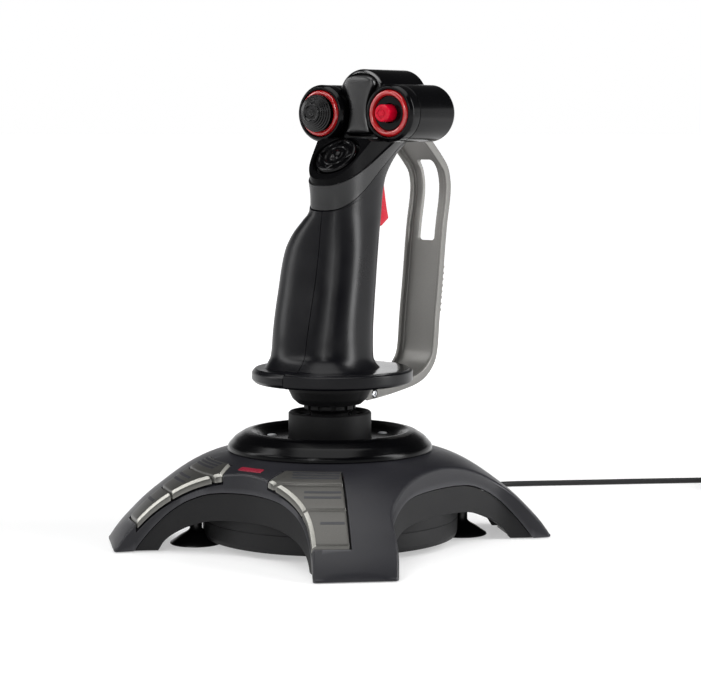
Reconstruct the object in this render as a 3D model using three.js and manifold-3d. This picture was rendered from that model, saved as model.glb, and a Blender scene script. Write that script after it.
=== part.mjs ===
// Desk flight joystick. Millimetres, +Z up, origin on the desk under the centre
// of the base. +Y points away from the player, +X to the player's right.
import * as THREE from 'three';
import { mergeVertices } from 'three/addons/utils/BufferGeometryUtils.js';
import Module from 'manifold-3d';

const wasm = await Module();
wasm.setup();

// ---- driving dimensions -------------------------------------------------
const GAP = 0.3;                 // gap kept between pieces that touch
const SEG = 40;                  // facets round the base
const SHELL_T = 2.6;             // wall of the upper shell
const LEG_ANGLE = 46.94;         // leg direction from the X axis, degrees
const LEG_REACH = 107;           // leg tip edge from the centre
const PIVOT_Z = 58;              // height of the gimbal centre
const COLLAR_R = 20.2;           // outside radius of the collar
const COLLAR_TOP = 63;
const DISC_R = 38.7;             // hand-rest disc
const DISC_Z0 = 77, DISC_Z1 = 84.2;
const POD_X = 20.8, POD_Z = 207.2, POD_R = 14;   // twin pods of the head
const TUBE_Z = 214.8, TUBE_R = 14.4;           // centre tube of the head
const GUARD_W = 11.4;            // half width of the knuckle guard
const CORD_D = 3.1;              // lead diameter
const DRUM_R = 62.4;             // round tub of the base
const HAT_C = [0, 5, 187];       // centre of the four-way hat on its sloping plate

// crown line of the legs: radius and height of the top surface
const TOP = [[46, 45.5], [61, 41], [72, 35.3], [83, 27.5], [91, 21], [98, 14], [104, 7.2], [109, 0], [112.5, -5]];
// seam between the upper and lower shell on the arch walls
const SEAM = [[60, 30.7], [67, 30], [75.7, 25.7], [82.7, 19.9], [93.9, 7.6], [99.2, 0.6], [103, -5]];
// lower edge of the inner band of the arches
const LOW = [[60, 17], [68, 16.5], [76.5, 12.6], [84, 7], [88.6, 0], [91, -5]];
// half of the arch outline in plan, from the leg corner to the crown
const ARCH_Y = [[59, 91.4], [53, 83.7], [45, 76.2], [35, 70.8], [23, 67.6], [10, 65.2], [0, 64.2]];
const ARCH_X = [[87.2, 65], [79.3, 55], [73, 49.5], [68.1, 40], [65.8, 30], [64, 16], [63.2, 0]];

// ---- helpers ------------------------------------------------------------
const DEG = Math.PI / 180;
function solidOf(geo) {
  const src = geo.index ? geo.toNonIndexed() : geo;
  const bare = new THREE.BufferGeometry();
  bare.setAttribute('position', src.getAttribute('position').clone());
  const m = mergeVertices(bare, 1e-4);
  const p = m.getAttribute('position').array;
  const idx = m.index.array;
  const tri = [];
  for (let i = 0; i < idx.length; i += 3) {
    const [a, b, c] = [idx[i], idx[i + 1], idx[i + 2]];
    if (a !== b && b !== c && c !== a) tri.push(a, b, c);
  }
  let vol = 0;
  const v = (i) => [p[3 * i], p[3 * i + 1], p[3 * i + 2]];
  for (let i = 0; i < tri.length; i += 3) {
    const [a, b, c] = [v(tri[i]), v(tri[i + 1]), v(tri[i + 2])];
    vol += a[0] * (b[1] * c[2] - b[2] * c[1]) - a[1] * (b[0] * c[2] - b[2] * c[0]) + a[2] * (b[0] * c[1] - b[1] * c[0]);
  }
  if (vol < 0) for (let i = 0; i < tri.length; i += 3) { const t = tri[i]; tri[i] = tri[i + 1]; tri[i + 1] = t; }
  return new wasm.Manifold(new wasm.Mesh({ numProp: 3, vertProperties: Float32Array.from(p), triVerts: Uint32Array.from(tri) }));
}
function geoOf(man) {
  const g = man.getMesh();
  const b = new THREE.BufferGeometry();
  b.setAttribute('position', new THREE.BufferAttribute(Float32Array.from(g.vertProperties), 3));
  b.setIndex(new THREE.BufferAttribute(Uint32Array.from(g.triVerts), 1));
  b.computeVertexNormals();
  return b;
}
const V2 = (a) => new THREE.Vector2(a[0], a[1]);
const V3 = (a) => new THREE.Vector3(a[0], a[1], a[2]);
// solid of revolution about Z, profile given as [radius, height]
function lathe(profile, seg = 32, closed = false) {
  const pts = profile.map(V2);
  if (closed) pts.push(pts[0].clone());
  const g = new THREE.LatheGeometry(pts, seg);
  g.rotateX(Math.PI / 2);
  return solidOf(g);
}
const ring = (r0, r1, z0, z1, seg = 32) => lathe([[r0, z0], [r1, z0], [r1, z1], [r0, z1]], seg, true);
// prism along Z from a list of plan points
function prism(pts, z0, z1) {
  const g = new THREE.ExtrudeGeometry(new THREE.Shape(pts.map(V2)), { depth: z1 - z0, bevelEnabled: false, steps: 1 });
  g.translate(0, 0, z0);
  return solidOf(g);
}
// prism along X from a list of [y, z] points
function prismX(pts, x0, x1) {
  const g = new THREE.ExtrudeGeometry(new THREE.Shape(pts.map(V2)), { depth: x1 - x0, bevelEnabled: false, steps: 1 });
  g.applyMatrix4(new THREE.Matrix4().set(0, 0, 1, x0, 1, 0, 0, 0, 0, 1, 0, 0, 0, 0, 0, 1));
  return solidOf(g);
}
// prism along Y from a list of [x, z] points
function prismY(pts, y0, y1) {
  const g = new THREE.ExtrudeGeometry(new THREE.Shape(pts.map(V2)), { depth: y1 - y0, bevelEnabled: false, steps: 1 });
  g.applyMatrix4(new THREE.Matrix4().set(1, 0, 0, 0, 0, 0, -1, y1, 0, 1, 0, 0, 0, 0, 0, 1));
  return solidOf(g);
}
function box(x0, x1, y0, y1, z0, z1) {
  const g = new THREE.BoxGeometry(x1 - x0, y1 - y0, z1 - z0);
  g.translate((x0 + x1) / 2, (y0 + y1) / 2, (z0 + z1) / 2);
  return solidOf(g);
}
// straight round bar between two points
function bar(a, b, r0, r1 = r0, seg = 20) {
  const A = V3(a), B = V3(b), d = B.clone().sub(A);
  const g = new THREE.CylinderGeometry(r1, r0, d.length(), seg);
  g.applyQuaternion(new THREE.Quaternion().setFromUnitVectors(new THREE.Vector3(0, 1, 0), d.clone().normalize()));
  g.translate(...A.add(B).multiplyScalar(0.5).toArray());
  return solidOf(g);
}
// turned piece: profile [radius, distance along dir] about a line through origin o
function turned(profile, o, dir, seg = 32, closed = false) {
  const pts = profile.map(V2);
  if (closed) pts.push(pts[0].clone());
  const g = new THREE.LatheGeometry(pts, seg);
  g.applyQuaternion(new THREE.Quaternion().setFromUnitVectors(new THREE.Vector3(0, 1, 0), V3(dir).normalize()));
  g.translate(...o);
  return solidOf(g);
}
// skin over a stack of closed sections with equal point counts
function loft(rings) {
  const n = rings[0].length, pos = [], idx = [];
  rings.forEach((r) => r.forEach((p) => pos.push(...p)));
  for (let k = 0; k + 1 < rings.length; k++) for (let i = 0; i < n; i++) {
    const a = k * n + i, b = k * n + (i + 1) % n, c = a + n, d = b + n;
    idx.push(a, b, d, a, d, c);
  }
  for (const [k, flip] of [[0, true], [rings.length - 1, false]]) {
    const c = rings[k].reduce((s, p) => [s[0] + p[0] / n, s[1] + p[1] / n, s[2] + p[2] / n], [0, 0, 0]);
    const ci = pos.length / 3;
    pos.push(...c);
    for (let i = 0; i < n; i++) {
      const a = k * n + i, b = k * n + (i + 1) % n;
      if (flip) idx.push(ci, b, a); else idx.push(ci, a, b);
    }
  }
  const g = new THREE.BufferGeometry();
  g.setAttribute('position', new THREE.Float32BufferAttribute(pos, 3));
  g.setIndex(idx);
  return solidOf(g);
}
// rounded section: x from xl to xr, y from yf to yb, at height z; e sets how square it is
function section(xl, xr, yf, yb, z, e = 2.5, n = 20, slope = 0) {
  const cx = (xl + xr) / 2, cy = (yf + yb) / 2, a = (xr - xl) / 2, b = (yb - yf) / 2, out = [];
  for (let i = 0; i < n; i++) {
    const t = (i + 0.5) / n * 2 * Math.PI, c = Math.cos(t), s = Math.sin(t);
    const x = cx + a * Math.sign(c) * Math.pow(Math.abs(c), 2 / e);
    const y = cy + b * Math.sign(s) * Math.pow(Math.abs(s), 2 / e);
    out.push([x, y, z + slope * (y - cy)]);
  }
  return out;
}
// a profile moved sideways by d along its own normal (positive is inward)
function offset(pts, d) {
  return pts.map((p, i) => {
    const a = pts[Math.max(i - 1, 0)], b = pts[Math.min(i + 1, pts.length - 1)];
    const tx = b[0] - a[0], ty = b[1] - a[1], l = Math.hypot(tx, ty);
    return [p[0] + ty / l * d, p[1] - tx / l * d];
  });
}
// everything under a crown line
function under(pts, d = 0, seg = SEG) {
  const o = d ? offset(pts, d) : pts;
  return lathe([[0, o[0][1]], ...o, [o[o.length - 1][0], -30], [0, -30]], seg);
}
// plan outline of the four-legged base, moved inward by d
function plan(d = 0) {
  const q = [];
  const half = (arr) => arr;
  const sectors = [
    ...half(ARCH_X).map(([x, y]) => [x, y]).reverse(),          // +X arch crown to its +Y corner
    ...half(ARCH_Y).map(([x, y]) => [x, y]),                    // +Y arch corner to crown
    ...half(ARCH_Y).map(([x, y]) => [-x, y]).reverse().slice(1),
    ...half(ARCH_X).map(([x, y]) => [-x, y]),
    ...half(ARCH_X).map(([x, y]) => [-x, -y]).reverse().slice(1),
    ...half(ARCH_Y).map(([x, y]) => [-x, -y]),
    ...half(ARCH_Y).map(([x, y]) => [x, -y]).reverse().slice(1),
    ...half(ARCH_X).map(([x, y]) => [x, -y]),
  ];
  for (const p of sectors) q.push(p);
  // the closing crown point repeats the first one
  q.pop();
  if (!d) return q;
  const n = q.length;
  return q.map((p, i) => {
    const a = q[(i + n - 1) % n], b = q[(i + 1) % n];
    const n1 = [p[1] - a[1], a[0] - p[0]], n2 = [b[1] - p[1], p[0] - b[0]];
    const l1 = Math.hypot(...n1), l2 = Math.hypot(...n2);
    const u = [n1[0] / l1 + n2[0] / l2, n1[1] / l1 + n2[1] / l2];
    const k = 2 / (u[0] * u[0] + u[1] * u[1]);
    return [p[0] - u[0] * k * d, p[1] - u[1] * k * d];
  });
}
const rotZ = (man, deg) => man.rotate([0, 0, deg]);
const polar = (r, a) => [r * Math.cos(a * DEG), r * Math.sin(a * DEG)];

const group = new THREE.Group();
const mats = {};
function material(name, color, roughness, metalness) {
  mats[name] = new THREE.MeshStandardMaterial({ color, roughness, metalness });
}
material('base_satin', 0x313134, 0.5, 0);
material('base_inner', 0x35353a, 0.55, 0);
material('key_grey', 0x77746c, 0.42, 0.3);
material('gloss_black', 0x0b0b0c, 0.2, 0);
material('satin_black', 0x17181b, 0.42, 0);
material('matt_black', 0x121214, 0.65, 0);
material('rubber', 0x0d0d0e, 0.85, 0);
material('steel', 0xb9bbbf, 0.3, 1);
material('crimson', 0xc81937, 0.3, 0);
material('ring_red', 0xbe282d, 0.25, 0);
material('guard_grey', 0x686866, 0.4, 0.4);
material('board', 0x1c5a34, 0.6, 0);
material('ballast', 0x55585c, 0.5, 0.8);
material('cord_black', 0x141416, 0.6, 0);
function add(name, man, mat) {
  const mesh = new THREE.Mesh(geoOf(man), mats[mat]);
  mesh.name = name;
  group.add(mesh);
  return man;
}

// ---- base: upper shell --------------------------------------------------
const planPrism = (d) => prism(plan(d), -20, 80);
const outerP = planPrism(0);
const KEYS = [['3', 58.6, 69.2], ['2', 69.2, 82.5], ['1', 82.5, 98]];
const KEY_A0 = -47.6, KEY_A1 = -80;
// plan outline of a key bank slice on the front right leg
function slice(r0, r1, g) {
  const pts = [];
  const da0 = g / r0 / DEG;
  for (let i = 0; i <= 4; i++) pts.push(polar(r0 + g, KEY_A0 - da0 + (KEY_A1 - KEY_A0) * i / 4));
  for (let i = 4; i >= 0; i--) pts.push(polar(r1 - g, KEY_A0 - da0 + (KEY_A1 - KEY_A0) * i / 4));
  return pts.reverse();
}
// the inner key comes to a point beside the arch crown
const pointCut = (g) => prism([[15.4 + g, -50], [15.4 + g, -57.5], [12.2 + g, -72], [-10, -72], [-10, -50]], -20, 80);
const bankCut = prism(slice(58.2, 98.4, 0), -20, 80).subtract(pointCut(-0.4));
const bankCutL = bankCut.mirror([1, 0, 0]);

let upper = under(TOP, 0).intersect(outerP);
const cavity = under(TOP, SHELL_T).intersect(planPrism(2.4));
upper = upper.subtract(cavity);
const bankFloor = under(TOP, 4.2).subtract(under(TOP, 6.4)).intersect(planPrism(0.8));
for (const bank of [bankCut, bankCutL]) {
  upper = upper.add(bankFloor.intersect(bank));
}
const bankWell = under(TOP, -4).subtract(under(TOP, 4.2));
for (const bank of [bankCut, bankCutL]) upper = upper.subtract(bankWell.intersect(bank));
upper = upper.subtract(under(SEAM, 0));
upper = upper.subtract(lathe([[0, 20], [44, 20], [44, 60], [0, 60]], 32));
upper = upper.intersect(box(-120, 120, -120, 120, 0.4, 60));
add('base_upper_shell', upper, 'base_satin');

// ---- base: lower shell, foot plates and cup arms ------------------------
let lower = under(SEAM, 0.35).intersect(planPrism(0.8)).subtract(planPrism(3.2)).subtract(under(LOW, 0));
lower = lower.add(lathe([[60.2, 3], [61.6, 3], [DRUM_R, 6], [DRUM_R, 29], [60.2, 29]], SEG, true));
const legBox = (s0, s1, w, z0, z1) => (a) => rotZ(box(s0, s1, -w, w, z0, z1), a);
const legAngles = [LEG_ANGLE, 180 - LEG_ANGLE, 180 + LEG_ANGLE, -LEG_ANGLE];
const innerPlan = planPrism(2.8);
const CUP_S = 66;
function cupAt(a, g) {
  const [x, y] = polar(CUP_S, a);
  return turned([[0, g ? -1 : 1.6], [10, g ? -1 : 0], [12.6 + g, g ? -1 : 0], [12.6 + g, 0.7 + g], [7.4 + g, 4.4 + g], [3.1 + g, 6.6 + g], [3.1 + g, 14.6], [0, 14.6]], [x, y, 0], [0, 0, 1], 18);
}
const underSeam = under(TOP, 6.9);
for (const a of legAngles) {
  lower = lower.add(legBox(84, 99, 24, 3.4, 5.4)(a).intersect(innerPlan).intersect(underSeam));
  lower = lower.add(legBox(61, 74, 7, 15, 17.4)(a));
}
lower = lower.intersect(box(-120, 120, -120, 120, 0.4, 60));
for (const a of legAngles) lower = lower.subtract(cupAt(a, 0.4));
// lead hole through the back of the drum
lower = lower.subtract(bar([0, 50, 8], [0, 70, 8], 2.4, 2.4, 16));
add('base_lower_shell', lower, 'base_inner');

let cover = lathe([[0, 2.6], [59.2, 2.6], [59.6, 3.2], [59.6, 5], [0, 5]], SEG);
for (const a of legAngles) cover = cover.subtract(cupAt(a, 0.4));
add('base_bottom_cover', cover, 'base_inner');
add('ballast_plate', lathe([[0, 5.3], [46, 5.3], [46, 9.3], [0, 9.3]], 24), 'ballast');
add('main_pcb', box(-36, 36, -32, 32, 11.4, 13), 'board');
add('sensor_chip', box(-4, 4, -4, 4, 13.3, 15.6), 'matt_black');
add('gimbal_housing', lathe([[24.2, 16], [26.6, 16], [26.6, 46.6], [17.4, 46.6], [17.4, 44.4], [24.2, 44.4]], 24, true), 'matt_black');

// ---- dome ring, collar, screws ------------------------------------------
let dome = lathe([[20.6, 47], [42, 47], [49.9, 44.85], [49.4, 47.2], [46.2, 50.6], [41.6, 53.4], [38, 54.1], [35.4, 52.8], [33, 50.2], [20.6, 49.7]], 36, true);
const screwAt = [-159.5, -86, -14, 66, 133].map((a) => polar(29.8, a));
for (const [x, y] of screwAt) dome = dome.subtract(bar([x, y, 40], [x, y, 60], 1.6, 1.6, 10)).subtract(bar([x, y, 48.9], [x, y, 60], 2.9, 2.9, 12));
add('dome_ring', dome, 'gloss_black');
screwAt.forEach(([x, y], i) => {
  const s = turned([[0, 42.5], [1.2, 42.5], [1.2, 49.2], [2.5, 49.2], [2.5, 50], [0, 50.6]], [x, y, 0], [0, 0, 1], 12);
  add(`dome_screw_${i + 1}`, s, 'steel');
});
let collar = lathe([[17.4, 46.9], [COLLAR_R, 46.9], [COLLAR_R, 62.2], [19.4, COLLAR_TOP], [18.7, COLLAR_TOP], [17.4, 61.2]], 32, true);
collar = collar.subtract(bar([-19.4, 0, PIVOT_Z], [19.4, 0, PIVOT_Z], 1.9, 1.9, 10));
collar = collar.subtract(box(-30, 30, -1.6, 1.6, 40, 51.4).subtract(lathe([[0, 30], [19, 30], [19, 60], [0, 60]], 32)));
add('collar', collar, 'matt_black');

// ---- gimbal ring: pivots in the collar about X, carries the neck about Y --
let gring = ring(12.4, 15.8, PIVOT_Z - 2.3, PIVOT_Z + 2.3, 28);
gring = gring.add(bar([-19, 0, PIVOT_Z], [-14, 0, PIVOT_Z], 1.6, 1.6, 10)).add(bar([14, 0, PIVOT_Z], [19, 0, PIVOT_Z], 1.6, 1.6, 10));
gring = gring.subtract(bar([0, -20, PIVOT_Z], [0, 20, PIVOT_Z], 1.9, 1.9, 10));
add('gimbal_ring', gring, 'steel');

// ---- stick: neck, shaft, spring, magnet, bowl -----------------------------
let neck = lathe([[0, 51], [9, 51], [9, 62.6], [12.6, 64.4], [12.6, 66.5], [0, 66.5]], 24);
neck = neck.add(bar([0, -15.5, PIVOT_Z], [0, 15.5, PIVOT_Z], 1.6, 1.6, 10));
add('stick_neck', neck, 'matt_black');
add('stick_shaft', lathe([[0, 26.4], [3, 26.4], [3, 46.6], [8, 46.6], [8, 50.7], [0, 50.7]], 16), 'steel');
class Helix extends THREE.Curve {
  getPoint(t, target = new THREE.Vector3()) {
    const a = t * 4 * 2 * Math.PI;
    return target.set(5.6 * Math.cos(a), 5.6 * Math.sin(a), 29 + 16 * t);
  }
}
{
  const sh = new THREE.Shape();
  for (let i = 0; i < 5; i++) { const p = polar(0.9, i * 72); if (i) sh.lineTo(...p); else sh.moveTo(...p); }
  add('centering_spring', solidOf(new THREE.ExtrudeGeometry(sh, { steps: 36, bevelEnabled: false, extrudePath: new Helix() })), 'steel');
}
add('sensor_magnet', lathe([[0, 23.2], [3, 23.2], [3, 26.1], [0, 26.1]], 12), 'steel');
const bowlP = [[0, 66.8], [15.3, 66.8], [18.2, 69.4], [20.2, 73.6], [20.8, 76.7], [0, 76.7]];
const bowl = lathe(bowlP, 28);
const bowlBig = lathe([[0, 60], [15.8, 60], [15.8, 66.6], [18.7, 69.2], [20.7, 73.5], [21.3, 80], [0, 80]], 28);
add('stick_bowl', bowl, 'matt_black');

// ---- grip shells with the hand-rest disc ---------------------------------
const GRIP = [
  [-31.5, 22.6, -26.4, 26.6, 83.6], [-29.7, 18.8, -21.4, 22.6, 89.4], [-29.5, 17.4, -18.1, 23, 101],
  [-29.6, 15.8, -11.9, 27, 126], [-28.4, 15.2, -9.2, 29.4, 140], [-24.4, 14.6, -8, 31, 148.4],
  [-18.6, 14, -7, 32.2, 155], [-14.3, 13.6, -6.2, 32.8, 160], [-13.9, 13.6, -5.9, 33.4, 166], [-14.6, 14.6, -8, 40.8, 190]];
const gripBody = (k) => loft(GRIP.map(([a, b, c, d, z], i) => section(a + k, b - k, c + k, d - k, z, 2.7)));
const seamZ = (y) => 159 + 0.44 * (y + 9);
const overSeam = (dz) => prismX([[-60, seamZ(-60) + dz], [90, seamZ(90) + dz], [90, 300], [-60, 300]], -40, 40);
const cDisc = [0, 2];
let disc = lathe([[0, DISC_Z0], [36.8, DISC_Z0], [DISC_R, 79.2], [DISC_R, 82], [37, DISC_Z1], [0, 83.8]], 36).translate([cDisc[0], cDisc[1], 0]);
let grip = gripBody(0).add(disc).subtract(overSeam(-0.15));
const gripHollow = loft(GRIP.map(([a, b, c, d, z]) => section(a + 2.6, b - 2.6, c + 2.6, d - 2.6, z === 83.6 ? 79.6 : z, 2.7)));
// the wall is kept as a web at the seam so each half is a closed tray
grip = grip.subtract(gripHollow.intersect(box(-60, 60, -60, 60, 70, 172)));
// pocket for the trigger, bore for the pinky button
const trigPocket = box(-6.3, 6.3, 22, 60, 150.6, 188);
grip = grip.subtract(trigPocket);
grip = grip.subtract(bar([0, 10, 92], [0, 40, 92], 4.5, 4.5, 16));
add('grip_right', grip.intersect(box(0.15, 60, -60, 60, 60, 220)), 'satin_black');
add('grip_left', grip.intersect(box(-60, -0.15, -60, 60, 60, 220)), 'satin_black');
add('grip_pcb', box(-1, 1, 0, 16, 100, 146), 'board');

// ---- head neck with the hat plate ----------------------------------------
const NECK = [[14, -6, 32.6, 150], [14, -6, 33.3, 165], [14.6, -7.2, 35.4, 175], [16, -9.4, 44.6, 187], [17.6, -10, 56, 194.9]];
let hneck = loft(NECK.map(([w, f, b, z]) => section(-w, w, f, b, z, 2.6)));
hneck = hneck.intersect(overSeam(0.15));
const SL = Math.SQRT1_2;
const plateN = [0, -SL, SL];
// plane of the hat plate: through the hat centre, at 45 degrees
hneck = hneck.subtract(prismX([[-40, HAT_C[2] - HAT_C[1] - 40], [40, HAT_C[2] - HAT_C[1] + 40], [-40, 260]], -40, 40));
const along = (d) => [HAT_C[0], HAT_C[1] + plateN[1] * d, HAT_C[2] + plateN[2] * d];
hneck = hneck.subtract(bar(along(-4.6), along(12), 12.3, 12.3, 24)).subtract(bar(along(-11), along(2), 5.2, 5.2, 12));
const podCyl = (sx, r, y0, y1) => bar([sx * POD_X, y0, POD_Z], [sx * POD_X, y1, POD_Z], r, r, 28);
hneck = hneck.subtract(podCyl(1, POD_R + GAP, 10, 70)).subtract(podCyl(-1, POD_R + GAP, 10, 70));
hneck = hneck.subtract(trigPocket.subtract(box(-10, 10, 0, 80, 184.5, 200)));
hneck = hneck.subtract(bar([-11, 30, 179.5], [11, 30, 179.5], 1.8, 1.8, 10));
add('head_neck', hneck, 'gloss_black');
add('trigger_pin', bar([-10.6, 30, 179.5], [10.6, 30, 179.5], 1.45, 1.45, 10), 'steel');

// ---- trigger ---------------------------------------------------------------
let trig = prismX([[27.6, 180.5], [29, 182], [31, 182.4], [33, 181.4], [35.6, 177.4], [37.4, 172], [38.6, 166], [39.8, 160.6], [41.4, 155.4], [35.2, 151.6], [30.4, 153], [29.6, 163], [28.4, 172]], -5.9, 5.9);
trig = trig.subtract(bar([-11, 30, 179.5], [11, 30, 179.5], 1.8, 1.8, 10));
add('trigger', trig, 'crimson');

// ---- four-way hat ------------------------------------------------------------
add('hat_cross', turned([[0, -9.4], [3.4, -9.4], [3.4, -5], [0, -5]], HAT_C, plateN, 12), 'matt_black');
add('hat_disc', turned([[0, -4.7], [3, -4.7], [3, -2.4], [10.6, -2.4], [10.9, -0.6], [9.6, 0.6], [4, 1.1], [0, 2.2]], HAT_C, plateN, 24), 'gloss_black');

// ---- head body: two pods and the centre tube ---------------------------------
const podTube = (sx) => turned([[0, 26.8], [POD_R, 26.8], [POD_R, 55.5], [12.6, 58.3], [0, 59.3]], [sx * POD_X, 0, POD_Z], [0, 1, 0], 28);
let head = podTube(1).add(podTube(-1));
head = head.add(turned([[0, 25.5], [12.8, 25.5], [TUBE_R, 27.1], [TUBE_R, 61.7], [12.8, 64.1], [0, 65.1]], [0, 0, TUBE_Z], [0, 1, 0], 28));
head = head.add(box(-20.6, 20.6, 26.8, 54, 195.2, 213));
head = head.add(prismY([[-9.8, 195.2], [9.8, 195.2], [9.8, 200], [8, 203], [8, 212], [-8, 212], [-8, 203], [-9.8, 200]], 24.9, 40));
// saddle button seat
const saddleOut = (g) => {
  const half = [[7.6, 197.6], [6.3, 202.4], [5.5, 207.4], [5.8, 212], [7.2, 216.6], [9.2, 220.6], [8.7, 223.2], [5.8, 225.2], [0, 225.9]];
  const r = half.map(([x, z]) => [x + g, z + (z > 222 ? g : z < 199 ? -g : 0)]);
  const l = r.slice(0, -1).reverse().map(([x, z]) => [-x, z]);
  return [...r, ...l];
};
head = head.subtract(prismY(saddleOut(0.35), 17, 30.1));
head = head.subtract(podCyl(1, POD_R + GAP, 17, 26.8)).subtract(podCyl(-1, POD_R + GAP, 17, 26.8));
head = head.subtract(bar([POD_X, 17, POD_Z], [POD_X, 33.1, POD_Z], 6, 6, 16)).subtract(bar([-POD_X, 17, POD_Z], [-POD_X, 33.1, POD_Z], 6, 6, 16));
add('head_body', head, 'gloss_black');
add('saddle_button', prismY(saddleOut(0), 22.1, 28.1), 'gloss_black');

// pod caps, red rings and what is set in them
for (const [side, sx] of [['right', 1], ['left', -1]]) {
  const o = [sx * POD_X, 0, POD_Z];
  add(`pod_cap_${side}`, turned([[6, 22.5], [11.6, 22.5], [11.6, 19.1], [12.8, 19.1], [POD_R, 20.7], [POD_R, 26.5], [6, 26.5]], o, [0, 1, 0], 28, true), 'gloss_black');
  add(`red_ring_${side}`, turned([[8.5, 19.3], [9.9, 18.4], [11.3, 19.3], [11.3, 22.2], [8.5, 22.2]], o, [0, 1, 0], 24, true), 'ring_red');
}
add('thumb_button', turned([[0, 13.5], [3.6, 13.5], [4.2, 14.1], [4.2, 30.1], [0, 30.1]], [POD_X, 0, POD_Z], [0, 1, 0], 20), 'crimson');
add('cone_hat', turned([[0, 12.2], [4.6, 11.8], [5.2, 12.9], [9.2, 16.1], [8.6, 16.9], [4, 17.2], [4, 22.6], [0, 22.6]], [-POD_X, 0, POD_Z], [0, 1, 0], 24), 'rubber');
add('cone_cross', turned([[0, 23], [3.6, 23], [3.6, 27.6], [0, 27.6]], [-POD_X, 0, POD_Z], [0, 1, 0], 12), 'matt_black');

// ---- knuckle guard -------------------------------------------------------------
const GO = [[58, 200], [66, 197.6], [72.9, 192.7], [82, 185], [86.6, 179.9], [88.9, 171.3], [88.2, 162.9], [85.8, 152], [83.8, 138], [82, 123.3], [78.9, 101.9], [77.4, 87.5], [74.6, 80.5], [67.1, 74], [58.2, 71], [45, 69.2], [30, 67.8], [14, 66.9]];
const inward = (d) => offset(GO, d);
const ribbon = (d0, d1, w) => prismX([...inward(d0), ...inward(d1).reverse()], -w, w);
let guard = ribbon(0, 2.2, GUARD_W);
const lipCut = ribbon(2.1, 9, GUARD_W - 2);
guard = guard.add(ribbon(1.5, 5, GUARD_W).subtract(lipCut));
// finger-side slot through the web
{
  const s = new THREE.Shape();
  s.moveTo(-5, 144.2); s.lineTo(-5, 182); s.quadraticCurveTo(-5, 183.8, -3.2, 183.8); s.lineTo(3.2, 183.8); s.quadraticCurveTo(5, 183.8, 5, 182);
  s.lineTo(5, 144.2); s.quadraticCurveTo(5, 142.6, 3.4, 142.6); s.lineTo(-3.4, 142.6); s.quadraticCurveTo(-5, 142.6, -5, 144.2);
  guard = guard.subtract(prismY(s.getPoints(3).slice(0, -1).map((p) => [p.x, p.y]), 74, 96));
}
// rub ridges on the outer face
for (let i = 0; i < 8; i++) {
  const z = 107.5 + i * 3.1, y = 79.6 + (z - 107) * 0.145;
  guard = guard.add(bar([-11, y + 0.1, z], [11, y + 0.1, z], 1.0, 1.0, 6));
}
// flange that closes the lower arm on the bowl
guard = guard.add(prismX([[14, 67.2], [32, 68.2], [32, 73.4], [14, 73.4]], -GUARD_W, GUARD_W));
guard = guard.subtract(bowlBig);
// room under the flange for the collar rim when the stick leans right over
guard = guard.subtract(lathe([[0, 60], [19.6, 60], [19.6, 67.9], [0, 67.9]], 28));
guard = guard.subtract(turned([[0, 26.5], [POD_R + GAP, 26.5], [POD_R + GAP, 59.7], [0, 59.7]], [POD_X, 0, POD_Z], [0, 1, 0], 28));
guard = guard.subtract(turned([[0, 26.5], [POD_R + GAP, 26.5], [POD_R + GAP, 59.7], [0, 59.7]], [-POD_X, 0, POD_Z], [0, 1, 0], 28));
guard = guard.subtract(turned([[0, 25], [TUBE_R + GAP, 25], [TUBE_R + GAP, 65.5], [0, 65.5]], [0, 0, TUBE_Z], [0, 1, 0], 28));
guard = guard.subtract(bar([5, 21.6, 70], [20, 21.6, 70], 1.3, 1.3, 8)).subtract(bar([10.4, 21.6, 70], [20, 21.6, 70], 2.4, 2.4, 12));
add('guard', guard, 'guard_grey');
add('guard_screw', bar([5.4, 21.6, 70], [11, 21.6, 70], 1, 1, 8).add(bar([10.7, 21.6, 70], [11.8, 21.6, 70], 2.1, 1.7, 12)), 'steel');

// ---- pinky button ----------------------------------------------------------------
add('pinky_button', turned([[0, 14], [4.1, 14], [4.1, 24.2], [2.6, 25.8], [0, 26.4]], [0, 0, 92], [0, 1, 0], 16), 'crimson');

// ---- base keys --------------------------------------------------------------------
const keyShell = under(TOP, -0.9).subtract(under(TOP, 2.7)).intersect(prism(plan(-0.5), -20, 80));
for (const [n, r0, r1] of KEYS) {
  let k = keyShell.intersect(prism(slice(r0, r1, 0.4), -20, 80));
  k = k.subtract(pointCut(0));
  add(`base_key_r${n}`, k, 'key_grey');
  add(`base_key_l${n}`, k.mirror([1, 0, 0]), 'key_grey');
}
// ---- badge: a plain bar let into the front of the shell -------------------------------
const badge = under(TOP, -0.5).subtract(under(TOP, -0.2)).intersect(rotZ(box(58.6, 61.8, -6.9, 6.9, 20, 60), -91));
add('badge_bar', badge, 'crimson');

// ---- suction cups and foot pads ----------------------------------------------------------
legAngles.forEach((a, i) => {
  add(`suction_cup_${i + 1}`, cupAt(a, 0), 'rubber');
  add(`foot_pad_${i + 1}`, rotZ(box(87.6, 98.4, -13.5, 13.5, 0, 3.1), a), 'rubber');
});

// ---- lead: gland, free stretch, coil and plug ------------------------------------------------
const CORD_R = CORD_D / 2;
add('cable_gland', turned([[1.9, 62.9], [5.2, 62.9], [5.2, 65], [3.9, 65.4], [2.7, 78], [1.9, 78]], [0, 0, 8], [0, 1, 0], 12, true).subtract(box(-10, 10, 0, 62.8, 0, 20)), 'rubber');
// route of the free stretch: out of the gland, down to the desk, then off to the right
const CORD = [[0, 78.3, 8], [0, 84, 7.5], [-1.4, 92, 5.3], [-5.4, 104, 2.6], [-10.6, 118, 1.7], [-16.2, 134, CORD_R], [-19.6, 151, CORD_R], [-18.6, 166, CORD_R], [-12.4, 179.3, CORD_R], [-2.2, 190, CORD_R], [22.4, 213, CORD_R], [46, 235.3, CORD_R], [69.4, 256.7, CORD_R]];
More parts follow.
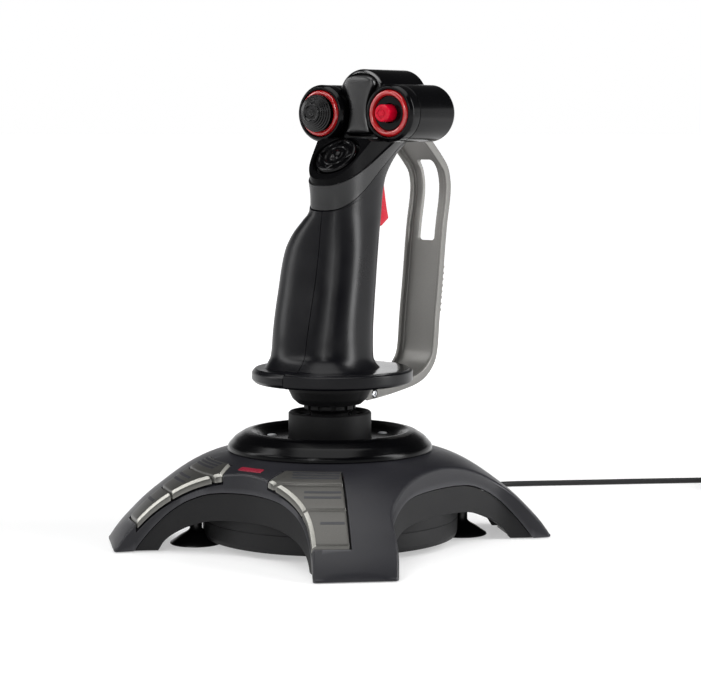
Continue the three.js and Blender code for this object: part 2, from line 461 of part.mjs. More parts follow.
// the lead joins the coil along a tangent at T and winds clockwise
const TURN_R = [22.3, 19.1, 15.9], COIL_T = [90, 275.5], COIL_DIR = [0.738, 0.675];
const COIL_C = [COIL_T[0] + TURN_R[0] * COIL_DIR[1], COIL_T[1] - TURN_R[0] * COIL_DIR[0]];
const COIL_IN = 14.2, COIL_OUT = 24, COIL_H = 12.8;
{
  const d = Math.sqrt(COIL_OUT ** 2 - (TURN_R[0] - CORD_R) ** 2) + 1.2;
  const end = [COIL_T[0] - COIL_DIR[0] * d, COIL_T[1] - COIL_DIR[1] * d, CORD_R];
  const curve = new THREE.CatmullRomCurve3([...CORD, end].map(V3), false, 'centripetal');
  const sh = new THREE.Shape();
  for (let i = 0; i < 8; i++) { const p = polar(CORD_R, i * 45 + 22.5); if (i) sh.lineTo(...p); else sh.moveTo(...p); }
  add('usb_cord', solidOf(new THREE.ExtrudeGeometry(sh, { steps: 38, bevelEnabled: false, extrudePath: curve })), 'cord_black');
}
add('cord_coil', lathe([[COIL_IN, 0.05], [COIL_OUT, 0.05], [COIL_OUT, COIL_H], [COIL_IN, COIL_H]], 24, true).translate([COIL_C[0], COIL_C[1], 0]), 'cord_black');
{
  // plug beside the coil, in line with the tail that leaves the top turn
  const a = 13 * DEG, dir = [Math.sin(a), -Math.cos(a)];
  const S = [COIL_C[0] + TURN_R[0] * Math.cos(a), COIL_C[1] + TURN_R[0] * Math.sin(a)];
  let p = box(-8, 8, 0, 26, 0.05, 8.2).add(box(-6, 6, 25.9, 44.4, 1.9, 6.4)).subtract(box(-5.6, 5.6, 28, 46, 4.2, 6)).add(bar([0, -8, 4.1], [0, 0.1, 4.1], 2.2, 3.4, 12));
  p = p.rotate([0, 0, Math.atan2(dir[1], dir[0]) / DEG - 90]).translate([S[0] + dir[0] * 36, S[1] + dir[1] * 36, 0]);
  add('usb_plug', p, 'matt_black');
}

export default group;
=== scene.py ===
"""Looks for the desk flight joystick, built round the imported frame."""
import bpy
import bmesh
import math
import numpy as np
from mathutils import Vector, Matrix


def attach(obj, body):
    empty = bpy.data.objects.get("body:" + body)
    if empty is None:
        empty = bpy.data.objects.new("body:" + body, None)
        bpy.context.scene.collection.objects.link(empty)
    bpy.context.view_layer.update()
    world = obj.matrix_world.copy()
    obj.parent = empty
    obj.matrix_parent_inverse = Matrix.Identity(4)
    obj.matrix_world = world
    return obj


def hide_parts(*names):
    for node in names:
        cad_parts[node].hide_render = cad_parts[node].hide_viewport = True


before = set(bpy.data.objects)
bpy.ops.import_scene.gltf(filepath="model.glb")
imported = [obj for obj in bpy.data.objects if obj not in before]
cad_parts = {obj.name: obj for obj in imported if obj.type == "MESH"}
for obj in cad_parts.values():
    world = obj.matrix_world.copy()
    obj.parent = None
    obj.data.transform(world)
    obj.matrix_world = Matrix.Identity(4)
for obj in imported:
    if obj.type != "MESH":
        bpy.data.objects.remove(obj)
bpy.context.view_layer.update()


MM = 0.001
DEG = math.pi / 180

# ------------------------------------------------------------------ maths


def pchip(xs, ys):
    """Shape-keeping cubic through the points."""
    x = np.array(xs, float)
    y = np.array(ys, float)
    h = np.diff(x)
    d = np.diff(y) / h
    m = np.zeros_like(x)
    m[0], m[-1] = d[0], d[-1]
    for i in range(1, len(x) - 1):
        if d[i - 1] * d[i] > 0:
            w1, w2 = 2 * h[i] + h[i - 1], h[i] + 2 * h[i - 1]
            m[i] = (w1 + w2) / (w1 / d[i - 1] + w2 / d[i])

    def f(t):
        t = np.asarray(t, float)
        i = np.clip(np.searchsorted(x, t) - 1, 0, len(x) - 2)
        u = (t - x[i]) / h[i]
        u = np.where((t < x[0]) | (t > x[-1]), u, u)
        h00 = 2 * u**3 - 3 * u**2 + 1
        h10 = u**3 - 2 * u**2 + u
        h01 = -2 * u**3 + 3 * u**2
        h11 = u**3 - u**2
        r = h00 * y[i] + h10 * h[i] * m[i] + h01 * y[i + 1] + h11 * h[i] * m[i + 1]
        lo = y[0] + m[0] * (t - x[0])
        hi = y[-1] + m[-1] * (t - x[-1])
        return np.where(t < x[0], lo, np.where(t > x[-1], hi, r))

    return f


def spline(xs, ys):
    """Natural cubic through the points."""
    x = np.array(xs, float)
    y = np.array(ys, float)
    n = len(x)
    h = np.diff(x)
    A = np.zeros((n, n))
    b = np.zeros(n)
    A[0, 0] = A[-1, -1] = 1
    for i in range(1, n - 1):
        A[i, i - 1], A[i, i], A[i, i + 1] = h[i - 1], 2 * (h[i - 1] + h[i]), h[i]
        b[i] = 6 * ((y[i + 1] - y[i]) / h[i] - (y[i] - y[i - 1]) / h[i - 1])
    M = np.linalg.solve(A, b)

    def f(t):
        t = np.asarray(t, float)
        i = np.clip(np.searchsorted(x, t) - 1, 0, n - 2)
        a, c = x[i + 1] - t, t - x[i]
        return (M[i] * a**3 + M[i + 1] * c**3) / (6 * h[i]) + (y[i] / h[i] - M[i] * h[i] / 6) * a + (y[i + 1] / h[i] - M[i + 1] * h[i] / 6) * c

    return f


def fillet(pts, rad, n=4, closed=False):
    """Rounds the corners of a polyline. rad is one number or one per point."""
    P = [np.array(p, float) for p in pts]
    m = len(P)
    R = [rad] * m if np.isscalar(rad) else list(rad)
    out = []
    for i, p in enumerate(P):
        if not closed and i in (0, m - 1):
            out.append(tuple(p))
            continue
        a, b = P[(i - 1) % m] - p, P[(i + 1) % m] - p
        la, lb = np.linalg.norm(a), np.linalg.norm(b)
        if R[i] <= 0 or la < 1e-6 or lb < 1e-6:
            out.append(tuple(p))
            continue
        a, b = a / la, b / lb
        cosv = float(np.clip(a @ b, -1, 1))
        half = math.acos(cosv) / 2
        if half > math.pi / 2 - 0.02:
            out.append(tuple(p))
            continue
        t = min(R[i] / math.tan(half), 0.48 * la, 0.48 * lb)
        r = t * math.tan(half)
        c = p + (a + b) / np.linalg.norm(a + b) * (r / math.sin(half))
        s0, s1 = p + a * t - c, p + b * t - c
        ang = math.acos(float(np.clip((s0 @ s1) / (np.linalg.norm(s0) * np.linalg.norm(s1)), -1, 1)))
        for k in range(n + 1):
            u = k / n
            if ang < 1e-6:
                v = s0
            else:
                v = (math.sin((1 - u) * ang) * s0 + math.sin(u * ang) * s1) / math.sin(ang)
            out.append(tuple(c + v))
    return out


# ------------------------------------------------------------------ meshes


def mesh_obj(name, verts, faces, mat, body, replaces=(), sharp=34):
    me = bpy.data.meshes.new(name)
    me.from_pydata([(v[0] * MM, v[1] * MM, v[2] * MM) for v in verts], [], faces)
    o = bpy.data.objects.new(name, me)
    bpy.context.scene.collection.objects.link(o)
    bm = bmesh.new()
    bm.from_mesh(me)
    bmesh.ops.remove_doubles(bm, verts=bm.verts, dist=2e-6)
    bmesh.ops.dissolve_degenerate(bm, edges=bm.edges, dist=1e-6)
    bmesh.ops.recalc_face_normals(bm, faces=bm.faces)
    bm.to_mesh(me)
    bm.free()
    finish_mesh(o, mat, sharp)
    if body:
        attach(o, body)
    if replaces:
        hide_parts(*([replaces] if isinstance(replaces, str) else replaces))
    return o


def finish_mesh(o, mat=None, sharp=34):
    me = o.data
    me.shade_smooth()
    me.set_sharp_from_angle(angle=sharp * DEG)
    if mat is not None:
        me.materials.clear()
        me.materials.append(mat)


def frame_of(axis, xdir=None):
    w = Vector(axis).normalized()
    u = Vector(xdir) if xdir else (Vector((0, 0, 1)) if abs(w.z) < 0.9 else Vector((1, 0, 0)))
    u = (u - w * u.dot(w)).normalized()
    return u, w.cross(u), w


def lathe_data(profile, seg=96, origin=(0, 0, 0), axis=(0, 0, 1), xdir=None, closed=False, disp=None):
    """disp(r, h, angle) -> (r, h) moves the points of the turned surface."""
    u, v, w = frame_of(axis, xdir)
    o = Vector(origin)
    V, F = [], []
    n = len(profile)
    for r, h in profile:
        for k in range(seg):
            a = 2 * math.pi * k / seg
            rr, hh = disp(r, h, a) if disp else (r, h)
            V.append(tuple(o + u * (rr * math.cos(a)) + v * (rr * math.sin(a)) + w * hh))
    for i in range(n if closed else n - 1):
        j = (i + 1) % n
        for k in range(seg):
            l = (k + 1) % seg
            F.append((i * seg + k, i * seg + l, j * seg + l, j * seg + k))
    if not closed:
        for i in (0, n - 1):
            if profile[i][0] > 1e-6:
                F.append(tuple(i * seg + k for k in range(seg)))
    return V, F


def lathe(name, profile, mat, body, replaces=(), sharp=34, **kw):
    V, F = lathe_data(profile, **kw)
    return mesh_obj(name, V, F, mat, body, replaces, sharp)


def loft_data(rings, cap=True, closed_u=True, closed_v=False):
    V, F = [], []
    n = len(rings[0])
    for r in rings:
        V.extend(tuple(p) for p in r)
    m = len(rings)
    for i in range(m if closed_v else m - 1):
        j = (i + 1) % m
        for k in range(n if closed_u else n - 1):
            l = (k + 1) % n
            F.append((i * n + k, i * n + l, j * n + l, j * n + k))
    if cap and not closed_v:
        F.append(tuple(range(n)))
        F.append(tuple((m - 1) * n + k for k in range(n)))
    return V, F


def join_data(*parts):
    V, F = [], []
    for v, f in parts:
        b = len(V)
        V.extend(v)
        F.extend(tuple(i + b for i in q) for q in f)
    return V, F


def temp_obj(V, F):
    me = bpy.data.meshes.new("cutter")
    me.from_pydata([(v[0] * MM, v[1] * MM, v[2] * MM) for v in V], [], F)
    o = bpy.data.objects.new("cutter", me)
    bpy.context.scene.collection.objects.link(o)
    bm = bmesh.new()
    bm.from_mesh(me)
    bmesh.ops.remove_doubles(bm, verts=bm.verts, dist=2e-6)
    bmesh.ops.recalc_face_normals(bm, faces=bm.faces)
    bm.to_mesh(me)
    bm.free()
    return o


def open_edges(bm):
    return sum(1 for e in bm.edges if len(e.link_faces) != 2)


def boolean(o, cutters, op="DIFFERENCE", sharp=34):
    """Cuts (or joins) o with closed shapes given as (verts, faces), tidying the mesh after each."""
    for c in cutters:
        t = temp_obj(*c)
        m = o.modifiers.new("b", "BOOLEAN")
        m.operation, m.object, m.solver = op, t, "EXACT"
        dg = bpy.context.evaluated_depsgraph_get()
        me = bpy.data.meshes.new_from_object(o.evaluated_get(dg))
        o.modifiers.clear()
        old = o.data
        mats = [x for x in old.materials]
        o.data = me
        me.materials.clear()
        for x in mats:
            me.materials.append(x)
        bpy.data.meshes.remove(old)
        tm = t.data
        bpy.data.objects.remove(t)
        bpy.data.meshes.remove(tm)
        bm = bmesh.new()
        bm.from_mesh(me)
        bmesh.ops.remove_doubles(bm, verts=bm.verts, dist=2e-6)
        bmesh.ops.dissolve_degenerate(bm, edges=bm.edges, dist=1e-6)
        if bm.faces and open_edges(bm) == 0:
            bm.to_mesh(me)
        bm.free()
    if not o.data.polygons:
        raise RuntimeError("nothing left of " + o.name)
    for p in o.data.polygons:
        p.material_index = 0
    finish_mesh(o, None, sharp)
    return o


def prism_data(poly, lo, hi, axes="xyz"):
    """Prism of a polygon; axes 'xyz' runs along z, 'yzx' along x, 'xzy' along y."""
    n = len(poly)
    V = []
    for h in (lo, hi):
        for a, b in poly:
            p = {axes[0]: a, axes[1]: b, axes[2]: h}
            V.append((p["x"], p["y"], p["z"]))
    F = [tuple(range(n)), tuple(n + i for i in range(n))]
    F += [(i, (i + 1) % n, n + (i + 1) % n, n + i) for i in range(n)]
    return V, F


def box_data(x0, x1, y0, y1, z0, z1, rot=0.0, bev=0.0):
    if bev:
        base = fillet([(x0, y0), (x1, y0), (x1, y1), (x0, y1)], bev, 3, True)
        cx, cy = (x0 + x1) / 2, (y0 + y1) / 2
        rings = []
        for dz, k in ((0, bev * 0.35), (bev * 0.3, 0)):
            rings.append([(cx + (x - cx) * (1 - k / max(x1 - cx, 1e-6)), cy + (y - cy) * (1 - k / max(y1 - cy, 1e-6)), z0 + dz) for x, y in base])
        for dz, k in ((bev * 0.3, 0), (0, bev * 0.35)):
            rings.append([(cx + (x - cx) * (1 - k / max(x1 - cx, 1e-6)), cy + (y - cy) * (1 - k / max(y1 - cy, 1e-6)), z1 - dz) for x, y in base])
        V, F = loft_data(rings)
    else:
        V, F = prism_data([(x0, y0), (x1, y0), (x1, y1), (x0, y1)], z0, z1)
    if rot:
        c, s = math.cos(rot * DEG), math.sin(rot * DEG)
        V = [(x * c - y * s, x * s + y * c, z) for x, y, z in V]
    return V, F


def bar_data(a, b, r0, r1=None, seg=24):
    A, B = Vector(a), Vector(b)
    r1 = r0 if r1 is None else r1
    return lathe_data([(0, 0), (r0, 0), (r1, (B - A).length), (0, (B - A).length)], seg, a, B - A)


# ------------------------------------------------------------------ materials


def srgb(r, g, b):
    return tuple(((c / 255) / 12.92 if c <= 10 else ((c / 255 + 0.055) / 1.055) ** 2.4) for c in (r, g, b)) + (1.0,)


def material(name, rgb, rough=0.45, rough_var=0.08, tone=0.12, metal=0.0, coat=0.0, coat_rough=0.1,
             grain=900.0, bump=0.12, blotch=35.0, spec=0.5, painted_edge_highlight=0.0, painted_edge_highlight_rgb=None, ior=1.5, sss=0.0, flake=0.0):
    """Moulded plastic, rubber, paint or metal, by its numbers: colour with slow and fine variation,
    roughness that varies over the surface, and a fine moulded grain as bump."""
    m = bpy.data.materials.new(name)
    m.use_nodes = True
    nt = m.node_tree
    N, L = nt.nodes, nt.links
    b = N["Principled BSDF"]
    tc = N.new("ShaderNodeTexCoord")
    big = N.new("ShaderNodeTexNoise")
    big.inputs["Scale"].default_value = blotch
    big.inputs["Detail"].default_value = 5.0
    big.inputs["Roughness"].default_value = 0.6
    L.new(tc.outputs["Object"], big.inputs["Vector"])
    fine = N.new("ShaderNodeTexNoise")
    fine.inputs["Scale"].default_value = grain
    fine.inputs["Detail"].default_value = 3.0
    fine.inputs["Roughness"].default_value = 0.65
    L.new(tc.outputs["Object"], fine.inputs["Vector"])
    c = srgb(*rgb)
    lo = tuple(max(0.0, v * (1 - tone)) for v in c[:3]) + (1.0,)
    hi = tuple(min(1.0, v * (1 + tone)) for v in c[:3]) + (1.0,)
    ramp = N.new("ShaderNodeValToRGB")
    ramp.color_ramp.elements[0].position, ramp.color_ramp.elements[0].color = 0.32, lo
    ramp.color_ramp.elements[1].position, ramp.color_ramp.elements[1].color = 0.68, hi
    L.new(big.outputs["Fac"], ramp.inputs["Fac"])
    colour = ramp.outputs["Color"]
    if flake:
        vor = N.new("ShaderNodeTexVoronoi")
        vor.inputs["Scale"].default_value = 2600.0
        L.new(tc.outputs["Object"], vor.inputs["Vector"])
        fr = N.new("ShaderNodeValToRGB")
        fr.color_ramp.elements[0].position, fr.color_ramp.elements[0].color = 0.0, tuple(min(1, v * (1 + flake)) for v in c[:3]) + (1.0,)
        fr.color_ramp.elements[1].position, fr.color_ramp.elements[1].color = 0.6, tuple(v * (1 - flake * 0.35) for v in c[:3]) + (1.0,)
        L.new(vor.outputs["Distance"], fr.inputs["Fac"])
        mx = N.new("ShaderNodeMix")
        mx.data_type = "RGBA"
        mx.inputs["Factor"].default_value = 0.5
        L.new(colour, mx.inputs["A"])
        L.new(fr.outputs["Color"], mx.inputs["B"])
        colour = mx.outputs["Result"]
    # painted edge highlight: faces with high Pointiness (sharp convex edges) are mixed towards a lighter colour
    if painted_edge_highlight and painted_edge_highlight_rgb:
        geo = N.new("ShaderNodeNewGeometry")
        wr = N.new("ShaderNodeMapRange")
        wr.inputs["From Min"].default_value = 0.53
        wr.inputs["From Max"].default_value = 0.62
        wr.inputs["To Max"].default_value = painted_edge_highlight
        L.new(geo.outputs["Pointiness"], wr.inputs["Value"])
        mx = N.new("ShaderNodeMix")
        mx.data_type = "RGBA"
        L.new(wr.outputs["Result"], mx.inputs["Factor"])
        L.new(colour, mx.inputs["A"])
        mx.inputs["B"].default_value = srgb(*painted_edge_highlight_rgb)
        colour = mx.outputs["Result"]
    L.new(colour, b.inputs["Base Color"])
    mr = N.new("ShaderNodeMapRange")
    mr.inputs["From Min"].default_value, mr.inputs["From Max"].default_value = 0.25, 0.75
    mr.inputs["To Min"].default_value, mr.inputs["To Max"].default_value = max(0.03, rough - rough_var), min(1.0, rough + rough_var)
    L.new(big.outputs["Fac"], mr.inputs["Value"])
    L.new(mr.outputs["Result"], b.inputs["Roughness"])
    if bump:
        bp = N.new("ShaderNodeBump")
        bp.inputs["Strength"].default_value = bump
        bp.inputs["Distance"].default_value = 0.00025
        L.new(fine.outputs["Fac"], bp.inputs["Height"])
        L.new(bp.outputs["Normal"], b.inputs["Normal"])
    b.inputs["Metallic"].default_value = metal
    b.inputs["Specular IOR Level"].default_value = spec
    b.inputs["IOR"].default_value = ior
    b.inputs["Coat Weight"].default_value = coat
    b.inputs["Coat Roughness"].default_value = coat_rough
    if sss:
        b.inputs["Subsurface Weight"].default_value = sss
        b.inputs["Subsurface Radius"].default_value = (0.004, 0.0012, 0.001)
        b.inputs["Subsurface Scale"].default_value = 0.5
    return m


# the lighter edge colours given to the base, keys and guard are painted edge highlights
M = {
    "base": material("base_satin", (27, 27, 31), 0.38, 0.05, 0.10, grain=1500, bump=0.14, spec=0.26, painted_edge_highlight=0.35, painted_edge_highlight_rgb=(130, 130, 134)),
    "band": material("base_band", (28, 29, 32), 0.50, 0.05, 0.08, grain=1500, bump=0.12, spec=0.2),
    "inner": material("base_inner", (21, 21, 22), 0.55, 0.06, 0.10, grain=1100, bump=0.2, spec=0.2),
    "key": material("key_grey", (68, 67, 64), 0.38, 0.05, 0.05, metal=0.5, grain=1800, bump=0.08, flake=0.35, painted_edge_highlight=0.4, painted_edge_highlight_rgb=(190, 189, 182)),
    # dark colour for the key grooves: painted shade
    "mark": material("key_groove_painted_shade", (24, 25, 31), 0.5, 0.05, 0.08, grain=1500, bump=0.05),
    "gloss": material("gloss_black", (4, 4, 5), 0.18, 0.03, 0.2, coat=0.05, coat_rough=0.1, grain=700, bump=0.025, spec=0.11),
    "dome": material("dome_black", (3, 3, 4), 0.22, 0.04, 0.2, coat=0.0, coat_rough=0.18, grain=900, bump=0.04, spec=0.10),
    "grip": material("grip_satin", (6, 6, 9), 0.30, 0.05, 0.14, coat=0.03, coat_rough=0.25, grain=1300, bump=0.10, spec=0.15),
    "neck": material("neck_black", (4, 4, 5), 0.30, 0.04, 0.14, coat=0.0, coat_rough=0.2, grain=900, bump=0.05, spec=0.05),
    # lighter, shinier copy of neck_black for the band under the rim: painted highlight
    "neckband_painted_highlight": material("neck_band_painted_highlight", (26, 26, 27), 0.30, 0.04, 0.12, coat=0.0, coat_rough=0.2, grain=900, bump=0.05, spec=0.30),
    "disc": material("disc_top", (9, 9, 12), 0.13, 0.03, 0.14, coat=0.0, grain=1300, bump=0.03, spec=0.5),
    "saddle": material("saddle_black", (8, 8, 9), 0.30, 0.05, 0.12, grain=900, bump=0.06, spec=0.55),
    "cone": material("cone_black", (2, 2, 3), 0.18, 0.04, 0.15, grain=900, bump=0.02, spec=0.3),
    # lighter, shinier copy of gloss_black for the lip round the saddle seat: painted highlight
    "lip_painted_highlight": material("lip_black_painted_highlight", (10, 10, 11), 0.24, 0.04, 0.12, grain=900, bump=0.02, spec=1.0),
    "matt": material("matt_black", (11, 11, 12), 0.55, 0.06, 0.15, grain=1400, bump=0.2, spec=0.15),
    "rubber": material("soft_rubber", (8, 8, 9), 0.34, 0.07, 0.2, grain=1100, bump=0.12, spec=0.4),
    "steel": material("bright_steel", (196, 198, 202), 0.22, 0.08, 0.06, metal=1.0, grain=2000, bump=0.05),
    # lighter copy of key_grey for the arch-side chamfer: painted highlight
    "keyedge_painted_highlight": material("key_edge_painted_highlight", (150, 149, 143), 0.32, 0.05, 0.05, metal=0.5, grain=1800, bump=0.06, flake=0.3),
    "screw": material("screw_steel", (222, 223, 226), 0.30, 0.06, 0.06, metal=0.6, grain=1500, bump=0.03),
    "crimson": material("crimson", (170, 0, 32), 0.28, 0.04, 0.05, coat=0.03, coat_rough=0.1, spec=0.2, grain=900, bump=0.03, sss=0.06),
    "ringred": material("ring_red", (150, 16, 20), 0.18, 0.05, 0.14, coat=0.6, coat_rough=0.05, grain=500, bump=0.04, sss=0.1),
    "guard": material("guard_grey", (109, 108, 105), 0.40, 0.05, 0.05, metal=0.4, grain=1700, bump=0.1, flake=0.22, painted_edge_highlight=0.45, painted_edge_highlight_rgb=(200, 200, 196)),
    "cord": material("cord_black", (16, 16, 17), 0.5, 0.06, 0.15, grain=1500, bump=0.12, spec=0.35),
    "plugmat": material("plug_black", (20, 20, 22), 0.5, 0.05, 0.15, grain=1500, bump=0.2),
    "badge": material("badge_red", (118, 16, 38), 0.45, 0.05, 0.1, grain=1300, bump=0.05, spec=0.3),
    "board": material("board_green", (20, 84, 48), 0.4, 0.05, 0.2, grain=700, bump=0.05),
    "ballast": material("ballast_iron", (88, 90, 93), 0.5, 0.1, 0.15, metal=0.9, grain=900, bump=0.15),
    "cupmat": material("cup_rubber", (7, 7, 8), 0.35, 0.06, 0.2, grain=700, bump=0.05, spec=0.4),
}
# CAD nodes that stay get their own procedural finish
KEEP = {"main_pcb": "board", "grip_pcb": "board", "sensor_chip": "matt", "ballast_plate": "ballast", "gimbal_housing": "matt",
        "stick_shaft": "steel", "centering_spring": "steel", "sensor_magnet": "steel", "gimbal_ring": "steel", "hat_cross": "matt",
        "cone_cross": "matt", "trigger_pin": "steel"}
for node, k in KEEP.items():
    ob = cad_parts[node]
    ob.data.materials.clear()
    ob.data.materials.append(M[k])

# ------------------------------------------------------------------ camera


def vec(az, el):
    a, e = az * DEG, el * DEG
    back = Vector((math.sin(a) * math.cos(e), -math.cos(a) * math.cos(e), math.sin(e)))
    right = Vector((math.cos(a), math.sin(a), 0))
    return right, back.cross(right), back


right, up, back = vec(36.4, 5.95)
cam = bpy.data.cameras.new("cam")
cam.lens, cam.sensor_width, cam.sensor_fit = 2201.35 * 36 / 701, 36, "HORIZONTAL"
cam.clip_start, cam.clip_end = 0.05, 30
camo = bpy.data.objects.new("cam", cam)
bpy.context.scene.collection.objects.link(camo)
eye = Vector((0.6396, -0.8506, 0.2039))
camo.matrix_world = Matrix(((right.x, up.x, back.x, eye.x), (right.y, up.y, back.y, eye.y), (right.z, up.z, back.z, eye.z), (0, 0, 0, 1)))
bpy.context.scene.camera = camo

# ------------------------------------------------------------------ lead
CR = 1.54
ROUTE = [(0, 78.3, 8), (0, 84, 7.5), (-1.4, 92, 5.3), (-5.4, 104, 2.6), (-10.6, 118, 1.7), (-16.2, 134, CR), (-19.6, 151, CR), (-18.6, 166, CR), (-12.4, 179.3, CR), (-2.2, 190, CR), (22.4, 213, CR), (46, 235.3, CR), (69.4, 256.7, CR)]
COIL_T, COIL_DIR, TURN_R = (90, 275.5), (0.738, 0.675), (22.3, 19.1, 15.9)
CC = (COIL_T[0] + TURN_R[0] * COIL_DIR[1], COIL_T[1] - TURN_R[0] * COIL_DIR[0])


def catmull(pts, per=8):
    P = [np.array(p, float) for p in pts]
    P = [2 * P[0] - P[1]] + P + [2 * P[-1] - P[-2]]
    out = []
    for i in range(1, len(P) - 2):
        p0, p1, p2, p3 = P[i - 1:i + 3]
        t0 = 0
        t1 = t0 + np.linalg.norm(p1 - p0) ** 0.5
        t2 = t1 + np.linalg.norm(p2 - p1) ** 0.5
        t3 = t2 + np.linalg.norm(p3 - p2) ** 0.5
        for k in range(per):
            t = t1 + (t2 - t1) * k / per
            A1 = (t1 - t) / (t1 - t0) * p0 + (t - t0) / (t1 - t0) * p1
            A2 = (t2 - t) / (t2 - t1) * p1 + (t - t1) / (t2 - t1) * p2
            A3 = (t3 - t) / (t3 - t2) * p2 + (t - t2) / (t3 - t2) * p3
            B1 = (t2 - t) / (t2 - t0) * A1 + (t - t0) / (t2 - t0) * A2
            B2 = (t3 - t) / (t3 - t1) * A2 + (t - t1) / (t3 - t1) * A3
            out.append((t2 - t) / (t2 - t1) * B1 + (t - t1) / (t2 - t1) * B2)
    out.append(P[-2])
    return [tuple(float(c) for c in p) for p in out]


def ease(u):
    u = min(1.0, max(0.0, u))
    return u * u * (3 - 2 * u)


def coil_line():
    """Radius and height against the angle travelled: three turns across, four layers, steps staggered so no turn meets another."""
    pitch, win = 3.2, 42.0
    moves = []
    # (angle where the move starts, what moves, from, to); phi counts degrees travelled
    w = 360.0 - win
    order = [(0, 1, "r"), (1, 2, "r"), (2, 2, "z")]
    phi = w
    R, Zl = TURN_R[0], 0
    seq = [("r", TURN_R[1]), ("r", TURN_R[2]), ("z", 1), ("r", TURN_R[1]), ("r", TURN_R[0]), ("z", 2), ("r", TURN_R[1]), ("r", TURN_R[2]), ("z", 3), ("r", TURN_R[1]), ("r", TURN_R[0])]
    for i, (kind, val) in enumerate(seq):
        if kind == "z":
            phi -= win           # rise one window before the turn closes
            moves.append((phi, "z", val))
            phi += 360 - win     # the next layer shifts back once more
        else:
            moves.append((phi, "r", val))
            phi += 360
    end = phi - 20
    n = int(end / 7.5)
    pts = []
    for k in range(n + 1):
        p = end * k / n
        r, z = TURN_R[0], 0.0
        for s, kind, val in moves:
            e = ease((p - s) / win)
            if kind == "r":
                r = r + (val - r) * e
            else:
                z = z + (val - z) * e
        a = math.atan2(COIL_T[1] - CC[1], COIL_T[0] - CC[0]) - p * DEG
        pts.append((CC[0] + r * math.cos(a), CC[1] + r * math.sin(a), 1.55 + pitch * z, a))
    return pts


lead_pts = catmull(ROUTE + [(COIL_T[0] - 9 * COIL_DIR[0], COIL_T[1] - 9 * COIL_DIR[1], CR), (COIL_T[0], COIL_T[1], CR)], 6)[:-1]
coil = coil_line()
# stop the winding where its tangent points along the plug
a_end = 13 * DEG
last = len(coil) - 1
while abs(((coil[last][3] - a_end + math.pi) % (2 * math.pi)) - math.pi) > 4.5 * DEG:
    last -= 1
wind = [c[:3] for c in coil[:last + 1]]
tail_dir = (math.sin(a_end), -math.cos(a_end))
S = (CC[0] + TURN_R[0] * math.cos(a_end), CC[1] + TURN_R[0] * math.sin(a_end))
tail = []
for d in (5, 9, 13, 17, 20.5, 24, 27.7):
    u = ease((d - 1) / 25)
    tail.append((S[0] + tail_dir[0] * d, S[1] + tail_dir[1] * d, wind[-1][2] + (4.1 - wind[-1][2]) * u))
line = lead_pts + wind + tail


def tube_data(path, r, seg=12, cap=True):
    P = [Vector(p) for p in path]
    n = len(P)
    T = [(P[min(i + 1, n - 1)] - P[max(i - 1, 0)]).normalized() for i in range(n)]
    u = T[0].cross(Vector((0, 0, 1)))
    if u.length < 1e-4:
        u = T[0].cross(Vector((1, 0, 0)))
    u.normalize()
    rings = []
    for i in range(n):
        u = (u - T[i] * u.dot(T[i])).normalized()
        v = T[i].cross(u)
        rr = r[i] if isinstance(r, (list, tuple)) else r
        rings.append([tuple(P[i] + (u * math.cos(2 * math.pi * k / seg) + v * math.sin(2 * math.pi * k / seg)) * rr) for k in range(seg)])
    return loft_data(rings, cap)


V, F = tube_data(line, CR, 12)
lead = mesh_obj("usb_lead", V, F, M["cord"], "base", ("usb_cord", "cord_coil"), sharp=60)

# plug: moulded body, metal shell, tapered tail; the grip rib boxes below are made but not added
a = math.atan2(tail_dir[1], tail_dir[0])
P0 = (S[0] + tail_dir[0] * 36, S[1] + tail_dir[1] * 36)


def to_plug(V):
    return [(P0[0] + x * -tail_dir[1] * -1 * 0 + x * tail_dir[1] + y * tail_dir[0], P0[1] - x * tail_dir[0] + y * tail_dir[1], z) for x, y, z in V]


def rounded_rect(w, h, r, n=4):
    return fillet([(-w, -h), (w, -h), (w, h), (-w, h)], r, n, True)


rings = []
for y, k in ((0.0, 0.80), (0.5, 0.95), (1.2, 1.0), (4, 1.0), (24.6, 1.0), (25.6, 0.96), (26.0, 0.86)):
    rings.append([(x * k, y, 4.12 + z * k) for x, z in rounded_rect(7.9, 4.0, 1.6)])
body_p = loft_data(rings)
ribs = []
for i in range(6):
    y = 5 + i * 2.2
    for sx in (-1, 1):
        ribs.append(box_data(sx * 7.95 - 0.05, sx * 7.95 + 0.05, y, y + 1.0, 1.6, 6.6))
tailp = lathe_data(fillet([(1.6, -8), (2.15, -8), (3.3, 0.3), (1.6, 0.3)], 0.2, 2), 24, (0, 0, 4.1), (0, 1, 0))
plug = mesh_obj("lead_plug", to_plug(join_data(body_p, tailp)[0]), join_data(body_p, tailp)[1], M["plugmat"], "base", "usb_plug")
shell_r = [(x, z) for x, z in rounded_rect(6.0, 2.25, 0.5, 3)]
shell_i = [(x, z) for x, z in rounded_rect(5.65, 1.9, 0.4, 3)]
rings = [[(x, y, 4.15 + z) for x, z in s] for y, s in ((25.9, shell_r), (44.1, shell_r), (44.3, [(x * 0.985, z * 0.96) for x, z in shell_r]), (44.3, shell_i), (28, shell_i))]
shellp = loft_data(rings)
metal = mesh_obj("lead_plug_shell", to_plug(shellp[0]), shellp[1], M["steel"], "base")
tong = box_data(-5.3, 5.3, 27, 43.6, 4.3, 6.0)
tongue = mesh_obj("lead_plug_tongue", to_plug(tong[0]), tong[1], M["plugmat"], "base")
